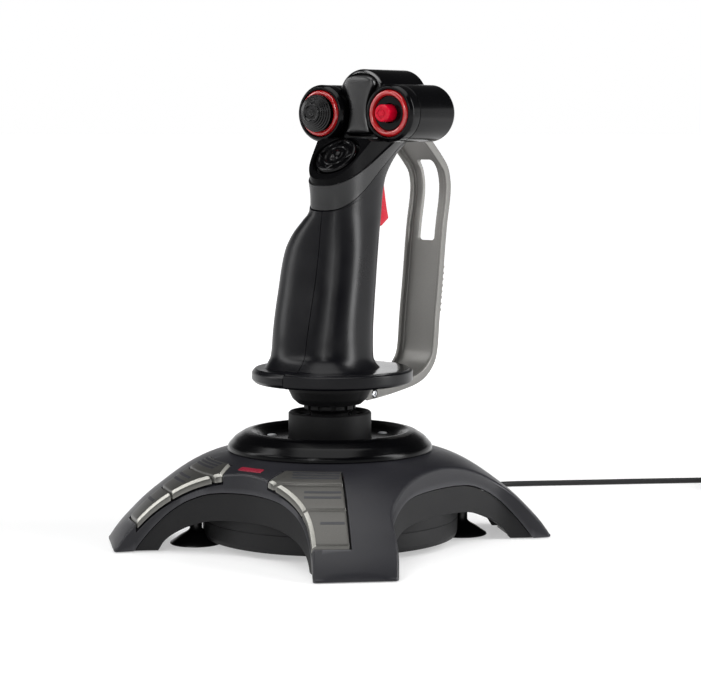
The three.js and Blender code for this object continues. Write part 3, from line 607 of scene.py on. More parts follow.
# tie round the coil
rings = []
for k in range(40):
    t = 2 * math.pi * k / 40
    c, s = math.cos(t), math.sin(t)
    e = 2.6
    rr = (TURN_R[1] + 5.25 * math.copysign(abs(c) ** (2 / e), c), 6.45 + 6.45 * math.copysign(abs(s) ** (2 / e), s))
    rings.append(rr)
ta = -128 * DEG
tie_rings = []
for w_, k in ((-2.6, 0.985), (-2.2, 1.0), (2.2, 1.0), (2.6, 0.985), (2.2, 0.93), (-2.2, 0.93)):
    tie_rings.append([(CC[0] + (TURN_R[1] + (r - TURN_R[1]) * k) * math.cos(ta) - w_ * math.sin(ta), CC[1] + (TURN_R[1] + (r - TURN_R[1]) * k) * math.sin(ta) + w_ * math.cos(ta), 6.45 + (z - 6.45) * k) for r, z in rings])
V, F = loft_data(tie_rings, cap=False, closed_v=True)
tie = mesh_obj("lead_tie", V, F, M["rubber"], "base")

# ------------------------------------------------------------------ floor and light
V = [(-30000, -30000, 0), (30000, -30000, 0), (30000, 30000, 0), (-30000, 30000, 0)]
floor_mat = bpy.data.materials.new("floor")
floor_mat.use_nodes = True
fn, fl = floor_mat.node_tree.nodes, floor_mat.node_tree.links
fb = fn["Principled BSDF"]
fb.inputs["Base Color"].default_value = (0.55, 0.55, 0.55, 1)
fb.inputs["Roughness"].default_value = 0.5
fb.inputs["Specular IOR Level"].default_value = 0.2
# the floor glows: emission rises from 0.42 near the object to 1.0 beyond 0.9 m, which whitens the far floor and
# lightens the shadows near the object
fb.inputs["Emission Color"].default_value = (1, 1, 1, 1)
ft = fn.new("ShaderNodeTexCoord")
fd = fn.new("ShaderNodeVectorMath")
fd.operation = "LENGTH"
fl.new(ft.outputs["Object"], fd.inputs[0])
fm = fn.new("ShaderNodeMapRange")
fm.inputs["From Min"].default_value, fm.inputs["From Max"].default_value = 0.25, 0.9
fm.inputs["To Min"].default_value, fm.inputs["To Max"].default_value = 0.42, 1.0
fl.new(fd.outputs["Value"], fm.inputs["Value"])
fl.new(fm.outputs["Result"], fb.inputs["Emission Strength"])
me = bpy.data.meshes.new("floor")
me.from_pydata([(v[0] * MM, v[1] * MM, -0.00002) for v in V], [], [(0, 1, 2, 3)])
flo = bpy.data.objects.new("floor", me)
me.materials.append(floor_mat)
bpy.context.scene.collection.objects.link(flo)

world = bpy.data.worlds.new("studio")
bpy.context.scene.world = world
world.use_nodes = True
wn, wl = world.node_tree.nodes, world.node_tree.links
bg = wn["Background"]
tc = wn.new("ShaderNodeTexCoord")
sep = wn.new("ShaderNodeSeparateXYZ")
wl.new(tc.outputs["Generated"], sep.inputs[0])
wr = wn.new("ShaderNodeValToRGB")
e = wr.color_ramp.elements
e[0].position, e[0].color = 0.0, (1.0, 1.0, 1.0, 1)
e[1].position, e[1].color = 1.0, (0.02, 0.02, 0.021, 1)
for pos, val in ((0.165, 1.0), (0.21, 0.14), (0.34, 0.05)):
    k = wr.color_ramp.elements.new(pos)
    k.color = (val, val, val * 1.01, 1)
wl.new(sep.outputs["Z"], wr.inputs["Fac"])
wl.new(wr.outputs["Color"], bg.inputs["Color"])
bg.inputs["Strength"].default_value = 1.0


def softbox(name, az, el, dist, w, h, power, target=(0, 0, 0.1)):
    d = bpy.data.lights.new(name, "AREA")
    d.shape, d.size, d.size_y, d.energy = "RECTANGLE", w, h, power
    o = bpy.data.objects.new(name, d)
    _, _, b = vec(az, el)
    o.location = Vector(target) + b * dist
    o.rotation_mode = "QUATERNION"
    o.rotation_quaternion = b.to_track_quat("Z", "Y")
    bpy.context.scene.collection.objects.link(o)
    return o


softbox("overhead", 20, 80, 1.5, 1.3, 1.3, 17)
softbox("crease_strip", 16, 26, 1.35, 0.12, 0.9, 4)
softbox("face_box", -34, 30, 1.4, 0.4, 0.3, 2.6)
softbox("left_box", -62, 30, 1.2, 0.25, 1.0, 5.5)
softbox("right_back", 118, 22, 1.2, 0.35, 1.0, 16)
softbox("front_low", 20, 18, 1.5, 1.2, 0.16, 3.5)
vs = bpy.context.scene.view_settings
vs.view_transform, vs.look, vs.exposure, vs.gamma = "Standard", "None", 0.0, 1.0

# ------------------------------------------------------------------ base outline and crown
TOPF = spline([44, 46, 50, 61, 72, 83, 91, 98, 104, 109], [46.1, 45.5, 44.3, 41, 35.3, 27.5, 21, 14, 7.2, 0])
SEAMF = pchip([60, 65, 69.3, 75.7, 82.7, 89, 93.9, 99.2, 104], [30.7, 30.3, 29.3, 25.7, 19.9, 13.3, 7.6, 0.6, -6])
LOWF = pchip([60, 65.6, 68.8, 71.6, 76.5, 80.4, 84, 86.2, 88.6, 91], [17, 16.8, 16.3, 15.3, 12.6, 9.9, 7, 4.5, 0, -5])
fy = spline([-59, -53, -45, -35, -23, -10, 0, 10, 23, 35, 45, 53, 59], [91.4, 83.7, 76.2, 70.8, 67.6, 65.2, 64.2, 65.2, 67.6, 70.8, 76.2, 83.7, 91.4])
fx = spline([-65, -55, -49.5, -40, -30, -16, 0, 16, 30, 40, 49.5, 55, 65], [87.0, 79.3, 73, 68.1, 65.8, 64, 63.2, 64, 65.8, 68.1, 73, 79.3, 87.0])
corner = []
for k in range(61):
    t = -65 + 130 * k / 60
    corner.append((float(fx(t)), t))
for k in range(61):
    t = 59 - 118 * k / 60
    corner.append((t, float(fy(t))))
for k in range(61):
    t = 65 - 130 * k / 60
    corner.append((-float(fx(t)), t))
for k in range(61):
    t = -59 + 118 * k / 60
    corner.append((t, -float(fy(t))))
rad = [0] * len(corner)
for k in (0, 60, 61, 121, 122, 182, 183, 243):
    rad[k] = 3.2
# the corners come after arcs of short segments; these radii are not used, the corners are softened by the running mean
# below
OUT = []
ring_pts = corner


def dense(pts, step=1.35):
    """Evenly spaced points round a closed line."""
    P = [np.array(p) for p in pts] + [np.array(pts[0])]
    s = [0]
    for i in range(len(P) - 1):
        s.append(s[-1] + np.linalg.norm(P[i + 1] - P[i]))
    n = int(s[-1] / step)
    out = []
    j = 0
    for k in range(n):
        t = s[-1] * k / n
        while s[j + 1] < t:
            j += 1
        u = (t - s[j]) / (s[j + 1] - s[j])
        out.append(P[j] * (1 - u) + P[j + 1] * u)
    return out


D0 = dense(corner, 0.7)
# soften the eight corners by a short running mean where the line turns sharply
Q = np.array(D0)
for _ in range(7):
    Q = (np.roll(Q, 1, 0) + 2 * Q + np.roll(Q, -1, 0)) / 4
tan = np.roll(Q, -1, 0) - np.roll(Q, 1, 0)
tan /= np.linalg.norm(tan, axis=1)[:, None]
NRM = np.stack([tan[:, 1], -tan[:, 0]], 1)           # outward for a counter-clockwise line
for _ in range(60):
    NRM = (np.roll(NRM, 1, 0) + 2 * NRM + np.roll(NRM, -1, 0)) / 4   # slow turn at the corners, so insets never fold
RHO = np.linalg.norm(Q, axis=1)
NO = len(Q)


def outline(d):
    return Q - NRM * d


def row(d, zf):
    """One loop round the base: inset d, height from a function of (radius at inset, radius at the edge, index)."""
    P = outline(d)
    r = np.linalg.norm(P, axis=1)
    return [(float(P[i, 0]), float(P[i, 1]), float(zf(r[i], RHO[i], i))) for i in range(NO)]


def ztop(r):
    return max(float(TOPF(r)), 1.9)


# each point of the outline is tied to a point of the r = 44 rim; the angles there always increase
PSI = np.empty(NO)
quarters = [int(np.argmin(np.hypot(Q[:, 0] - cx, Q[:, 1] - cy))) for cx, cy in ((63.2, 0), (0, 64.2), (-63.2, 0), (0, -64.2))]
seglen = np.linalg.norm(np.roll(Q, -1, 0) - Q, axis=1)
for q in range(4):
    i0, i1 = quarters[q], quarters[(q + 1) % 4]
    n_ = (i1 - i0) % NO
    acc, idx = 0.0, i0
    tot = sum(seglen[(i0 + k) % NO] for k in range(n_))
    for k in range(n_):
        PSI[(i0 + k) % NO] = (q + acc / tot) * math.pi / 2
        acc += seglen[(i0 + k) % NO]
QM = pchip([0, 36, 46, 55.9, 90], [0, 40.5, 46.2, 51.8, 90])
PD = np.degrees(np.mod(PSI, 2 * math.pi))
PHI = np.array([float(QM(p % 90)) + 90 * (p // 90) if (p // 90) % 2 == 0 else 90 * (p // 90) + 90 - float(QM(90 - p % 90)) for p in PD]) * DEG


def radial(s, d, dz, clampz):
    """Loop part-way between the dome and the inset outline."""
    P = outline(d)
    out = []
    for i in range(NO):
        cx, cy = 44 * math.cos(PHI[i]), 44 * math.sin(PHI[i])
        x, y = cx + (P[i, 0] - cx) * s, cy + (P[i, 1] - cy) * s
        out.append((float(x), float(y), max(float(TOPF(math.hypot(x, y))) - dz, clampz)))
    return out


E = 1.3
rows = []
for s in np.linspace(0, 1, 30):
    rows.append(radial(float(s), E, 0, 1.9))
for a_ in (18, 36, 54, 72, 90):
    d = E * (1 - math.sin(a_ * DEG))
    rows.append(row(d, lambda r, rho, i, a_=a_: max(ztop(r) - min(E, 0.45 * (ztop(r) - 0.4)) * (1 - math.cos(a_ * DEG)), 0.55)))


def wall_z(k):
    def f(r, rho, i):
        top = max(ztop(rho) - E, 0.9)
        lo = max(float(SEAMF(rho)), 0.42)
        return top + (lo + 0.2 - top) * k if top > lo + 0.25 else lo + 0.2
    return f


rows.append(row(0.0, wall_z(0.5)))
rows.append(row(0.0, wall_z(1.0)))
rows.append(row(0.35, lambda r, rho, i: max(float(SEAMF(rho)), 0.42)))
rows.append(row(2.3, lambda r, rho, i: max(float(SEAMF(rho)), 0.42)))
rows.append(row(2.4, lambda r, rho, i: max(ztop(rho) - 3.4, max(float(SEAMF(rho)), 0.42) + 0.02)))
for s in np.linspace(0.965, 0, 12):
    rows.append(radial(float(s), E, 2.6, 0.44))
VU, FU = loft_data(rows, cap=False, closed_v=True)
upper = mesh_obj("crown_shell", VU, FU, M["base"], "base", "base_upper_shell", sharp=38)

# ---- key banks on the front legs
KEYR = {"3": (58.6, 69.2), "2": (69.2, 82.5), "1": (82.5, 98.0)}
A0 = -47.6
fr = [math.hypot(x, float(fy(x))) for x in np.linspace(0, 57, 200)]
fa = [-math.degrees(math.atan2(float(fy(x)), x)) for x in np.linspace(0, 57, 200)]


def edge_angle(r, extra=0.0):
    """Angle at which the arch line reaches radius r, extra mm further out."""
    if r <= fr[0]:
        return -89.9
    a_ = float(np.interp(r, fr, fa))
    return a_ - extra / r / DEG


def line_angle(r, g):
    """Angle where the key's pointed side lies at radius r."""
    x0, y0, x1, y1 = 15.4 + g, -57.5, 12.2 + g, -72
    for k in range(400):
        t = k / 200
        x, y = x0 + (x1 - x0) * t, y0 + (y1 - y0) * t
        if math.hypot(x, y) >= r:
            return math.degrees(math.atan2(y, x))
    return -80


def key_end(r, n, g, extra):
    e = edge_angle(r, extra)
    if n == "3":
        e = max(e, line_angle(r, g))
    return max(e, -80 + 0 * g)


def patch(rlist, a_lo, a_hi, z_top, z_bot, sgn=1):
    """Closed block over a polar patch: a_lo(r) to a_hi(r) in columns given as 0..1, heights as functions of (r, u)."""
    rows_t, rows_b = [], []
    for r, cols in rlist:
        t, b = [], []
        for c in cols:
            a_ = (a_lo(r) + (a_hi(r) - a_lo(r)) * c) * DEG
            t.append((sgn * r * math.cos(a_), r * math.sin(a_), z_top(r, c)))
            b.append((sgn * r * math.cos(a_), r * math.sin(a_), z_bot(r, c)))
        rows_t.append(t)
        rows_b.append(b)
    m, n = len(rows_t), len(rows_t[0])
    V = [p for r_ in rows_t for p in r_] + [p for r_ in rows_b for p in r_]
    F = []
    for i in range(m - 1):
        for j in range(n - 1):
            q = (i * n + j, i * n + j + 1, (i + 1) * n + j + 1, (i + 1) * n + j)
            F.append(q)
            F.append(tuple(m * n + x for x in reversed(q)))
    border = [j for j in range(n)] + [i * n + n - 1 for i in range(1, m)] + [(m - 1) * n + j for j in range(n - 2, -1, -1)] + [i * n for i in range(m - 2, 0, -1)]
    for k in range(len(border)):
        a_, b_ = border[k], border[(k + 1) % len(border)]
        F.append((a_, m * n + a_, m * n + b_, b_))
    return V, F


def cuts(r0, r1, near=(0.0, 0.12, 0.3, 0.6), n=14):
    L = r1 - r0
    inner = np.linspace(near[-1], L - near[-1], n)
    return [r0 + d for d in near[:-1]] + [r0 + float(d) for d in inner] + [r1 - d for d in reversed(near[:-1])]


def rnd(d, R):
    return R - math.sqrt(max(R * R - (R - min(d, R)) ** 2, 0))


wells = []
for sgn, side in ((1, "r"), (-1, "l")):
    # the well that the three keys stand in
    rr_ = list(np.linspace(58.2, 98.4, 44))
    wells.append(patch([(r, np.linspace(0, 1, 14)) for r in rr_], lambda r: A0 + 0.4 / r / DEG, lambda r: (max(line_angle(r, -0.4), edge_angle(r, 3) if r > 66 else -80) if r < 69.4 else edge_angle(r, 3)),
                       lambda r, c: float(TOPF(r)) + 7, lambda r, c: float(TOPF(r)) - 4.2, sgn))
    for n, (r0, r1) in KEYR.items():
        g = 0.5
        ra, rb = r0 + g, r1 - g
        rl = cuts(ra, rb)
        table = []
        for r in rl:
            arc = abs(key_end(r, n, 0.1, 0.35) - (A0 - 0.65 / r / DEG)) * DEG * r
            near = [0, 0.12, 0.3, 0.6]
            far = [0.0, 0.15, 0.4, 1.0, 1.7, 2.1, 2.6]
            mid = np.linspace(near[-1], max(arc - far[-1], near[-1] + 0.5), 14)
            cols = [d / arc for d in near[:-1]] + [float(d) / arc for d in mid] + [(arc - d) / arc for d in reversed(far[:-1])]
            table.append((r, cols))

        def zt(r, c, n=n, ra=ra, rb=rb):
            arc = abs(key_end(r, n, 0.1, 0.35) - (A0 - 0.65 / r / DEG)) * DEG * r
            dA, dB = c * arc, (1 - c) * arc
            dr = min(r - ra, rb - r)
            z = float(TOPF(r)) + 0.9
            drop = rnd(dr, 0.55) + rnd(dA, 0.55)
            if dB < 2.1:
                drop += (2.1 - dB) * 0.62 + rnd(dB, 0.35)
            return z - min(drop, 2.6)

        V, F = patch(table, lambda r, g=g: A0 - 0.65 / r / DEG, lambda r, n=n: key_end(r, n, 0.1, 0.35), zt, lambda r, c: float(TOPF(r)) - 2.75, sgn)
        kob = mesh_obj(f"key_{side}{n}", V, F, M["key"], f"key_{side}{n}", f"base_key_{side}{n}", sharp=30)
        # the chamfer along the arch gets a lighter copy of the key grey, a painted highlight strip
        kob.data.materials.append(M["keyedge_painted_highlight"])
        for p in kob.data.polygons:
            c_ = p.center / MM
            r_ = math.hypot(c_.x, c_.y)
            e_ = abs(math.degrees(math.atan2(-c_.y, abs(c_.x))) + key_end(r_, n, 0.1, 0.35)) * DEG * r_
            if 0.3 < e_ < 2.0 and c_.z > float(TOPF(r_)) - 1.2 and p.normal.z > 0.2:
                p.material_index = 1
        # dark strips laid on the key tops where the grooves run: painted groove shade
        bars = {"3": ((60.9, 22), (62.9, 22), (64.9, 22)), "2": ((73.6, 17), (76.4, 17)), "1": ((88.9, 11),)}[n]
        parts = []
        for rc, ln in bars:
            half = ln / 2 / rc / DEG
            ac = {"3": -59.0, "2": -55.6, "1": -52.3}[n]
            parts.append(patch([(rc - 0.56 + 1.12 * k / 3, np.linspace(0, 1, 16)) for k in range(4)], lambda r, h=half, ac=ac: ac + h, lambda r, h=half, ac=ac: ac - h, lambda r, c: float(TOPF(r)) + 0.9 + 0.1, lambda r, c: float(TOPF(r)) + 0.5, sgn))
        V, F = join_data(*parts)
        mesh_obj(f"key_groove_shade_{side}{n}", V, F, M["mark"], f"key_{side}{n}", sharp=30)
boolean(upper, wells, sharp=38)
# the floor of the wells is part of the same moulding, so it is added as a thin tray under each bank
for sgn, side in ((1, "right"), (-1, "left")):
    V, F = patch([(r, np.linspace(0, 1, 10)) for r in np.linspace(58.0, 98.6, 30)], lambda r: A0 + 0.9 / r / DEG, lambda r: (max(line_angle(r, -1.2), edge_angle(r, -2.6) if r > 66 else -80) if r < 69.4 else edge_angle(r, -2.6)),
                 lambda r, c: float(TOPF(r)) - 4.25, lambda r, c: float(TOPF(r)) - 5.6, sgn)
    mesh_obj(f"key_tray_{side}", V, F, M["inner"], "base", sharp=30)

# badge: plain bar let into the shell
bang = -91
Vb, Fb = patch([(r, np.linspace(0, 1, 24)) for r in (58.7, 58.9, 60.2, 61.5, 61.7)], lambda r: bang - 6.8 / 60.2 / DEG, lambda r: bang + 6.8 / 60.2 / DEG,
               lambda r, c: float(TOPF(r)) + 0.35 - (0.15 if r < 58.8 or r > 61.6 or c < 0.01 or c > 0.99 else 0), lambda r, c: float(TOPF(r)) - 0.1)
mesh_obj("badge", Vb, Fb, M["badge"], "base", "badge_bar", sharp=30)

# ---- lower shell: band under the seam, tub, arms and foot plates


def lo_seam(rho):
    return max(float(SEAMF(rho)) - 0.45, 0.9)


def lo_low(rho):
    return max(float(LOWF(rho)), 0.5)


bandr = [row(0.8, lambda r, rho, i: lo_seam(rho)), row(0.75, lambda r, rho, i: lo_seam(rho) * 0.5 + lo_low(rho) * 0.5),
         row(0.8, lambda r, rho, i: min(lo_low(rho) + 0.35, lo_seam(rho) - 0.05)), row(1.15, lambda r, rho, i: lo_low(rho)),
         row(3.1, lambda r, rho, i: lo_low(rho)), row(3.1, lambda r, rho, i: lo_seam(rho))]
V, F = loft_data(bandr, cap=False, closed_v=True)
mesh_obj("arch_band", V, F, M["inner"], "base", "base_lower_shell", sharp=40)
drum = fillet([(60.2, 3), (61.6, 3), (62.3, 5.2), (62.4, 11.8), (62.15, 12.0), (62.4, 12.2), (62.4, 29), (60.2, 29)], [0, 0.5, 1.5, 0.05, 0, 0.05, 0.4, 0], 3, True)
tub = lathe("tub_wall", drum, M["inner"], "base", (), seg=192, closed=True, sharp=30)
LEGA = [46.94, 180 - 46.94, 180 + 46.94, -46.94]
notch = [lathe_data([(0, -1), (13.0, -1), (13.0, 1.1), (7.8, 4.8), (3.5, 7.0), (3.5, 14.6), (0, 14.6)], 48, (66 * math.cos(a_ * DEG), 66 * math.sin(a_ * DEG), 0)) for a_ in LEGA]
boolean(tub, [bar_data((0, 50, 8), (0, 70, 8), 2.6)] + notch, sharp=30)
arms, plates = [], []
for a_ in LEGA:
    arms.append(box_data(61, 74, -7, 7, 15, 17.4, a_, 0.8))
V, F = join_data(*arms)
mesh_obj("cup_arms", V, F, M["inner"], "base", sharp=30)
for i, a_ in enumerate(LEGA):
    V, F = box_data(84.6, 98.4, -15.4, 15.4, 3.4, 5.0, a_, 1.0)
    mesh_obj(f"foot_plate_{i + 1}", V, F, M["inner"], "base", sharp=30)
    V, F = box_data(87.7, 98.3, -13.4, 13.4, 0.0, 3.05, a_, 0.8)
    mesh_obj(f"foot_rubber_{i + 1}", V, F, M["rubber"], "base", f"foot_pad_{i + 1}", sharp=30)
    cx, cy = 66 * math.cos(a_ * DEG), 66 * math.sin(a_ * DEG)
    prof = [(0, 1.6), (6.0, 1.1), (10, 0.15), (10.8, 0.0), (12.3, 0.0), (12.58, 0.25), (12.4, 0.8), (9.6, 2.7), (7.4, 4.3), (5.0, 5.6), (3.7, 6.5), (3.05, 7.4), (3.05, 12.6), (3.7, 13.2), (3.7, 14.2), (3.0, 14.6), (0, 14.6)]
    lathe(f"cup_{i + 1}", prof, M["cupmat"], "base", f"suction_cup_{i + 1}", seg=56, origin=(cx, cy, 0), sharp=50)
cov = lathe("bottom_cover", fillet([(0, 2.6), (44, 2.6), (44.6, 3.0), (46, 3.0), (46.6, 2.6), (59.2, 2.6), (59.6, 3.2), (59.6, 5), (0, 5)], 0.2, 2), M["inner"], "base", "base_bottom_cover", seg=128)
boolean(cov, notch, sharp=30)
lathe("lead_gland", fillet([(1.95, 62.9), (5.2, 62.9), (5.2, 65), (4.0, 65.4), (3.9, 67.0), (3.3, 67.2), (3.3, 68.0), (3.7, 68.2), (3.5, 69.6), (3.0, 69.8), (3.0, 70.6), (3.35, 70.8), (3.2, 72.2), (2.75, 72.4), (2.75, 73.2), (3.05, 73.4), (2.7, 77.6), (2.3, 78), (1.95, 78)], 0.15, 2, True),
      M["rubber"], "base", "cable_gland", seg=40, origin=(0, 0, 8), axis=(0, 1, 0), closed=True)

# ---- dome ring, its screws, collar
dome_p = fillet([(20.6, 47.0), (42, 47), (49.6, 44.75), (49.95, 44.9), (49.7, 46.9), (46.4, 50.6), (41.8, 53.5), (38.2, 54.15), (35.6, 52.9), (33.0, 50.25), (20.6, 49.7)],
                [0, 1, 0.15, 0.15, 4.5, 7, 7, 2.8, 2.6, 1.8, 0], 8, True)
dome = lathe("dome", dome_p, M["dome"], "base", "dome_ring", seg=160, closed=True, sharp=40)
SC = [(29.8 * math.cos(a_ * DEG), 29.8 * math.sin(a_ * DEG)) for a_ in (-159.5, -86, -14, 66, 133)]
boolean(dome, [bar_data((x, y, 48.9), (x, y, 60), 2.95, seg=32) for x, y in SC] + [bar_data((x, y, 40), (x, y, 60), 1.6, seg=24) for x, y in SC], sharp=40)


def cross_cut(depth, w, l):
    """Phillips recess pointing down from z=0: two crossed wedges."""
    parts = []
    for q in (0, 1):
        top = [(-l, -w), (l, -w), (l, w), (-l, w)]
        bot = [(-l * 0.45, -w * 0.6), (l * 0.45, -w * 0.6), (l * 0.45, w * 0.6), (-l * 0.45, w * 0.6)]
        if q:
            top = [(-y, x) for x, y in top]
            bot = [(-y, x) for x, y in bot]
        parts.append(loft_data([[(x, y, -depth) for x, y in bot], [(x * 1.1, y * 1.1, 0.4) for x, y in top]]))
    return parts


def place(data, o, axis, xdir=None):
    u, v, w = frame_of(axis, xdir)
    O = Vector(o)
    return [tuple(O + u * p[0] + v * p[1] + w * p[2]) for p in data[0]], data[1]


for i, (x, y) in enumerate(SC):
    s = lathe(f"dome_screw_{i + 1}", fillet([(0, 42.5), (1.2, 42.5), (1.2, 49.1), (2.55, 49.1), (2.6, 49.7), (1.9, 50.42), (0, 50.6)], [0, 0.2, 0, 0.15, 0.5, 0.8, 0], 6), M["screw"], "base", f"dome_screw_{i + 1}", seg=40, origin=(x, y, 0))
    boolean(s, [place(c, (x, y, 50.55), (0, 0, 1), (1, 0.5, 0)) for c in cross_cut(1.1, 0.28, 1.35)], sharp=30)
col_p = fillet([(17.4, 46.9), (20.2, 46.9), (20.2, 48.6), (19.9, 48.8), (19.9, 49.2), (20.2, 49.4), (20.2, 62.2), (19.4, 63), (18.7, 63), (17.4, 61.2)], [0, 0, 0.1, 0.1, 0.1, 0.1, 0.5, 0.3, 0.3, 0.4], 4, True)
col = lathe("collar_cup", col_p, M["matt"], "base", "collar", seg=128, closed=True, sharp=40)
boolean(col, [bar_data((-19.2, 0, 58), (-10, 0, 58), 1.9), bar_data((10, 0, 58), (19.2, 0, 58), 1.9)], sharp=40)

# ------------------------------------------------------------------ neck and bowl
neck = lathe("neck", fillet([(0, 51), (9, 51), (9, 62.6), (12.6, 64.4), (12.6, 66.5), (0, 66.5)], [0, 0.4, 0.8, 0.4, 0.3, 0], 4), M["matt"], "stick", "stick_neck", seg=96)
slots = []
for i in range(12):
    a_ = 2 * math.pi * (i + 0.5) / 12
    V, F = box_data(11.4, 14, -1.0, 1.0, 64.2, 68, math.degrees(a_))
    slots.append((V, F))
boolean(neck, slots, sharp=35)
trun = [bar_data((0, -15.5, 58), (0, -8, 58), 1.6), bar_data((0, 8, 58), (0, 15.5, 58), 1.6)]
boolean(neck, trun, "UNION", sharp=35)
bowl_p = fillet([(0, 66.8), (15.3, 66.8), (18.2, 69.4), (20.2, 73.6), (20.8, 76.7), (0, 76.7)], [0, 0.8, 3, 4, 0.2, 0], 6)
lathe("bowl", bowl_p, M["matt"], "stick", "stick_bowl", seg=128, sharp=40,
      disp=lambda r, h, a_: (r - (0.12 if r > 14 and 67 < h < 76.6 and abs(math.sin(a_ * 4 + 0.4)) < 0.05 else 0), h))

# ------------------------------------------------------------------ grip
GR = [(-33, 25, -28.6, 28.6, 81.6), (-31.5, 22.6, -26.4, 26.6, 83.6), (-30.4, 20.2, -23.4, 23.8, 86.4), (-29.7, 18.8, -20.8, 22.6, 89.4), (-29.5, 17.4, -18.1, 23, 101), (-29.6, 16.5, -14.9, 24.8, 114), (-29.6, 15.8, -11.9, 27, 126), (-29.2, 15.5, -10.4, 28.3, 134),
      (-28.4, 15.2, -9.2, 29.4, 140), (-24.4, 14.6, -8, 31, 148.4), (-18.6, 14, -7, 32.2, 155), (-14.3, 13.6, -6.2, 32.8, 160), (-13.9, 13.6, -5.9, 33.4, 166), (-14.1, 13.9, -6.6, 36.4, 177), (-14.6, 14.6, -8, 40.8, 190)]
gz = [g[4] for g in GR]
GF = [pchip(gz, [g[k] for g in GR]) for k in range(4)]
GE = pchip([81, 90, 110, 140, 160, 190], [2.35, 2.6, 2.85, 2.75, 2.7, 2.7])


def sect(xl, xr, yf, yb, z, e, n=128, slope=0.0, front=0.0):
    cx, cy, a_, b_ = (xl + xr) / 2, (yf + yb) / 2, (xr - xl) / 2, (yb - yf) / 2
    out = []
    for i in range(n):
        t = (i + 0.5) / n * 2 * math.pi
        c, s = math.cos(t), math.sin(t)
        x = cx + a_ * math.copysign(abs(c) ** (2 / e), c)
        y = cy + b_ * math.copysign(abs(s) ** (2 / e), s)
        out.append((x, y, z + slope * (y - cy)))
    return out


def grip_ring(z, k=0.0):
    return sect(float(GF[0](z)) + k, float(GF[1](z)) - k, float(GF[2](z)) + k, float(GF[3](z)) - k, z, float(GE(z)))


zs = [82.2, 82.8, 83.6, 84.5, 85.6, 87, 88.5] + list(np.arange(90, 191, 2.0))
DISC = fillet([(0, 77), (37.6, 77), (39.1, 77.9), (39.22, 79), (39.22, 83.0), (38.7, 83.45), (37.6, 83.5), (37.45, 84.1), (33, 84.1), (0, 84.05)], [0, 0.8, 0.8, 0.5, 0.45, 0.3, 0.12, 0.2, 2, 0], 5)
DISC_L = fillet([(0, 77), (37.4, 77), (39.2, 78.8), (39.28, 80.4), (39.2, 82.2), (37.6, 84.15), (33, 84.05), (0, 83.9)], [0, 1.4, 1.4, 2, 1.8, 1.2, 2, 0], 6)
V, F = loft_data([grip_ring(z) for z in zs])
grip = mesh_obj("grip_shell_right", V, F, M["grip"], "stick", "grip_right", sharp=42)
left = grip.copy()
left.data = grip.data.copy()
left.name = "grip_shell_left"
for c in list(left.keys()):
    del left[c]
bpy.context.scene.collection.objects.link(left)
boolean(grip, [lathe_data(DISC, 160, (0, 2, 0))], "UNION", sharp=42)
boolean(left, [lathe_data(DISC_L, 160, (0, 2, 0))], "UNION", sharp=42)


def seam(y):
    return 159 + 0.44 * (y + 9)


def half_over(dz, x=60):
    return prism_data([(-60, seam(-60) + dz), (90, seam(90) + dz), (90, 300), (-60, 300)], -x, x, "yzx")


hol = loft_data([grip_ring(z, 2.7) for z in [80.0, 83.6, 88] + list(np.arange(92, 172.1, 4))])
pocket = prism_data([(22, 150.6), (60, 150.6), (60, 188), (22, 188)], -6.3, 6.3, "yzx")
for half_ in (grip, left):
    boolean(half_, [half_over(-0.15), hol, pocket, bar_data((0, 10, 92), (0, 40, 92), 4.5, seg=40)], sharp=42)
boolean(grip, [prism_data([(0.16, -60), (60, -60), (60, 60), (0.16, 60)], 60, 240)], "INTERSECT", sharp=42)
boolean(left, [prism_data([(-60, -60), (-0.16, -60), (-0.16, 60), (-60, 60)], 60, 240)], "INTERSECT", sharp=42)


def finish(o, mat, test):
    """Gives the faces picked by test(centre in mm, normal) a second finish."""
    o.data.materials.append(mat)
    k = len(o.data.materials) - 1
    for p in o.data.polygons:
        if test(p.center / MM, p.normal):
            p.material_index = k


finish(grip, M["disc"], lambda c, n_: 83.9 < c.z < 84.4 and n_.z > 0.97)
left.parent = None
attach(left, "stick")
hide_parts("grip_left")

# ------------------------------------------------------------------ head neck with the hat plate
NK = [(14, -6, 32.6, 150), (14, -6, 33.3, 165), (14.6, -7.2, 35.4, 175), (16, -9.4, 44.6, 187), (17.6, -10, 56, 194.9)]
NF = [pchip([k[3] for k in NK], [k[j] for k in NK]) for j in range(3)]
V, F = loft_data([sect(-float(NF[0](z)), float(NF[0](z)), float(NF[1](z)), float(NF[2](z)), z, 2.6) for z in list(np.arange(150, 194.2, 1.5)) + [194.9]])
hneck = mesh_obj("head_neck_shell", V, F, M["neck"], "stick", "head_neck", sharp=32)
# the part above the sloping rim is set in, which leaves a fine ledge
RIM_L = [(-60, 145.5), (-9, 171.2), (-7, 172.2), (0, 175.8), (14.5, 183.5), (29.5, 192.5), (60, 211)]
BAND_L = [(-60, 136.6), (-9, 159.05), (-4, 161.3), (3, 165.6), (12, 172.2), (21, 179.3), (40, 192.5), (70, 214)]


def on_line(L, y):
    return float(np.interp(y, [p[0] for p in L], [p[1] for p in L]))


rim_top = prism_data(RIM_L + [(60, 300), (-60, 300)], -60, 60, "yzx")
band_groove = prism_data(BAND_L + [(y, z + 0.35) for y, z in reversed(BAND_L)], -60, 60, "yzx")
boolean(hneck, [rim_top, band_groove], sharp=32)
SL = math.sqrt(0.5)
HAT = Vector((0, 5, 187))
HN = Vector((0, -SL, SL))
below = prism_data([(-60, seam(-60) + 0.15), (90, seam(90) + 0.15), (90, 100), (-60, 100)], -60, 60, "yzx")
front_cut = prism_data([(-40, 142), (40, 222), (-40, 260)], -40, 40, "yzx")


def on_hat(data):
    return place(data, HAT, HN, (1, 0, 0))


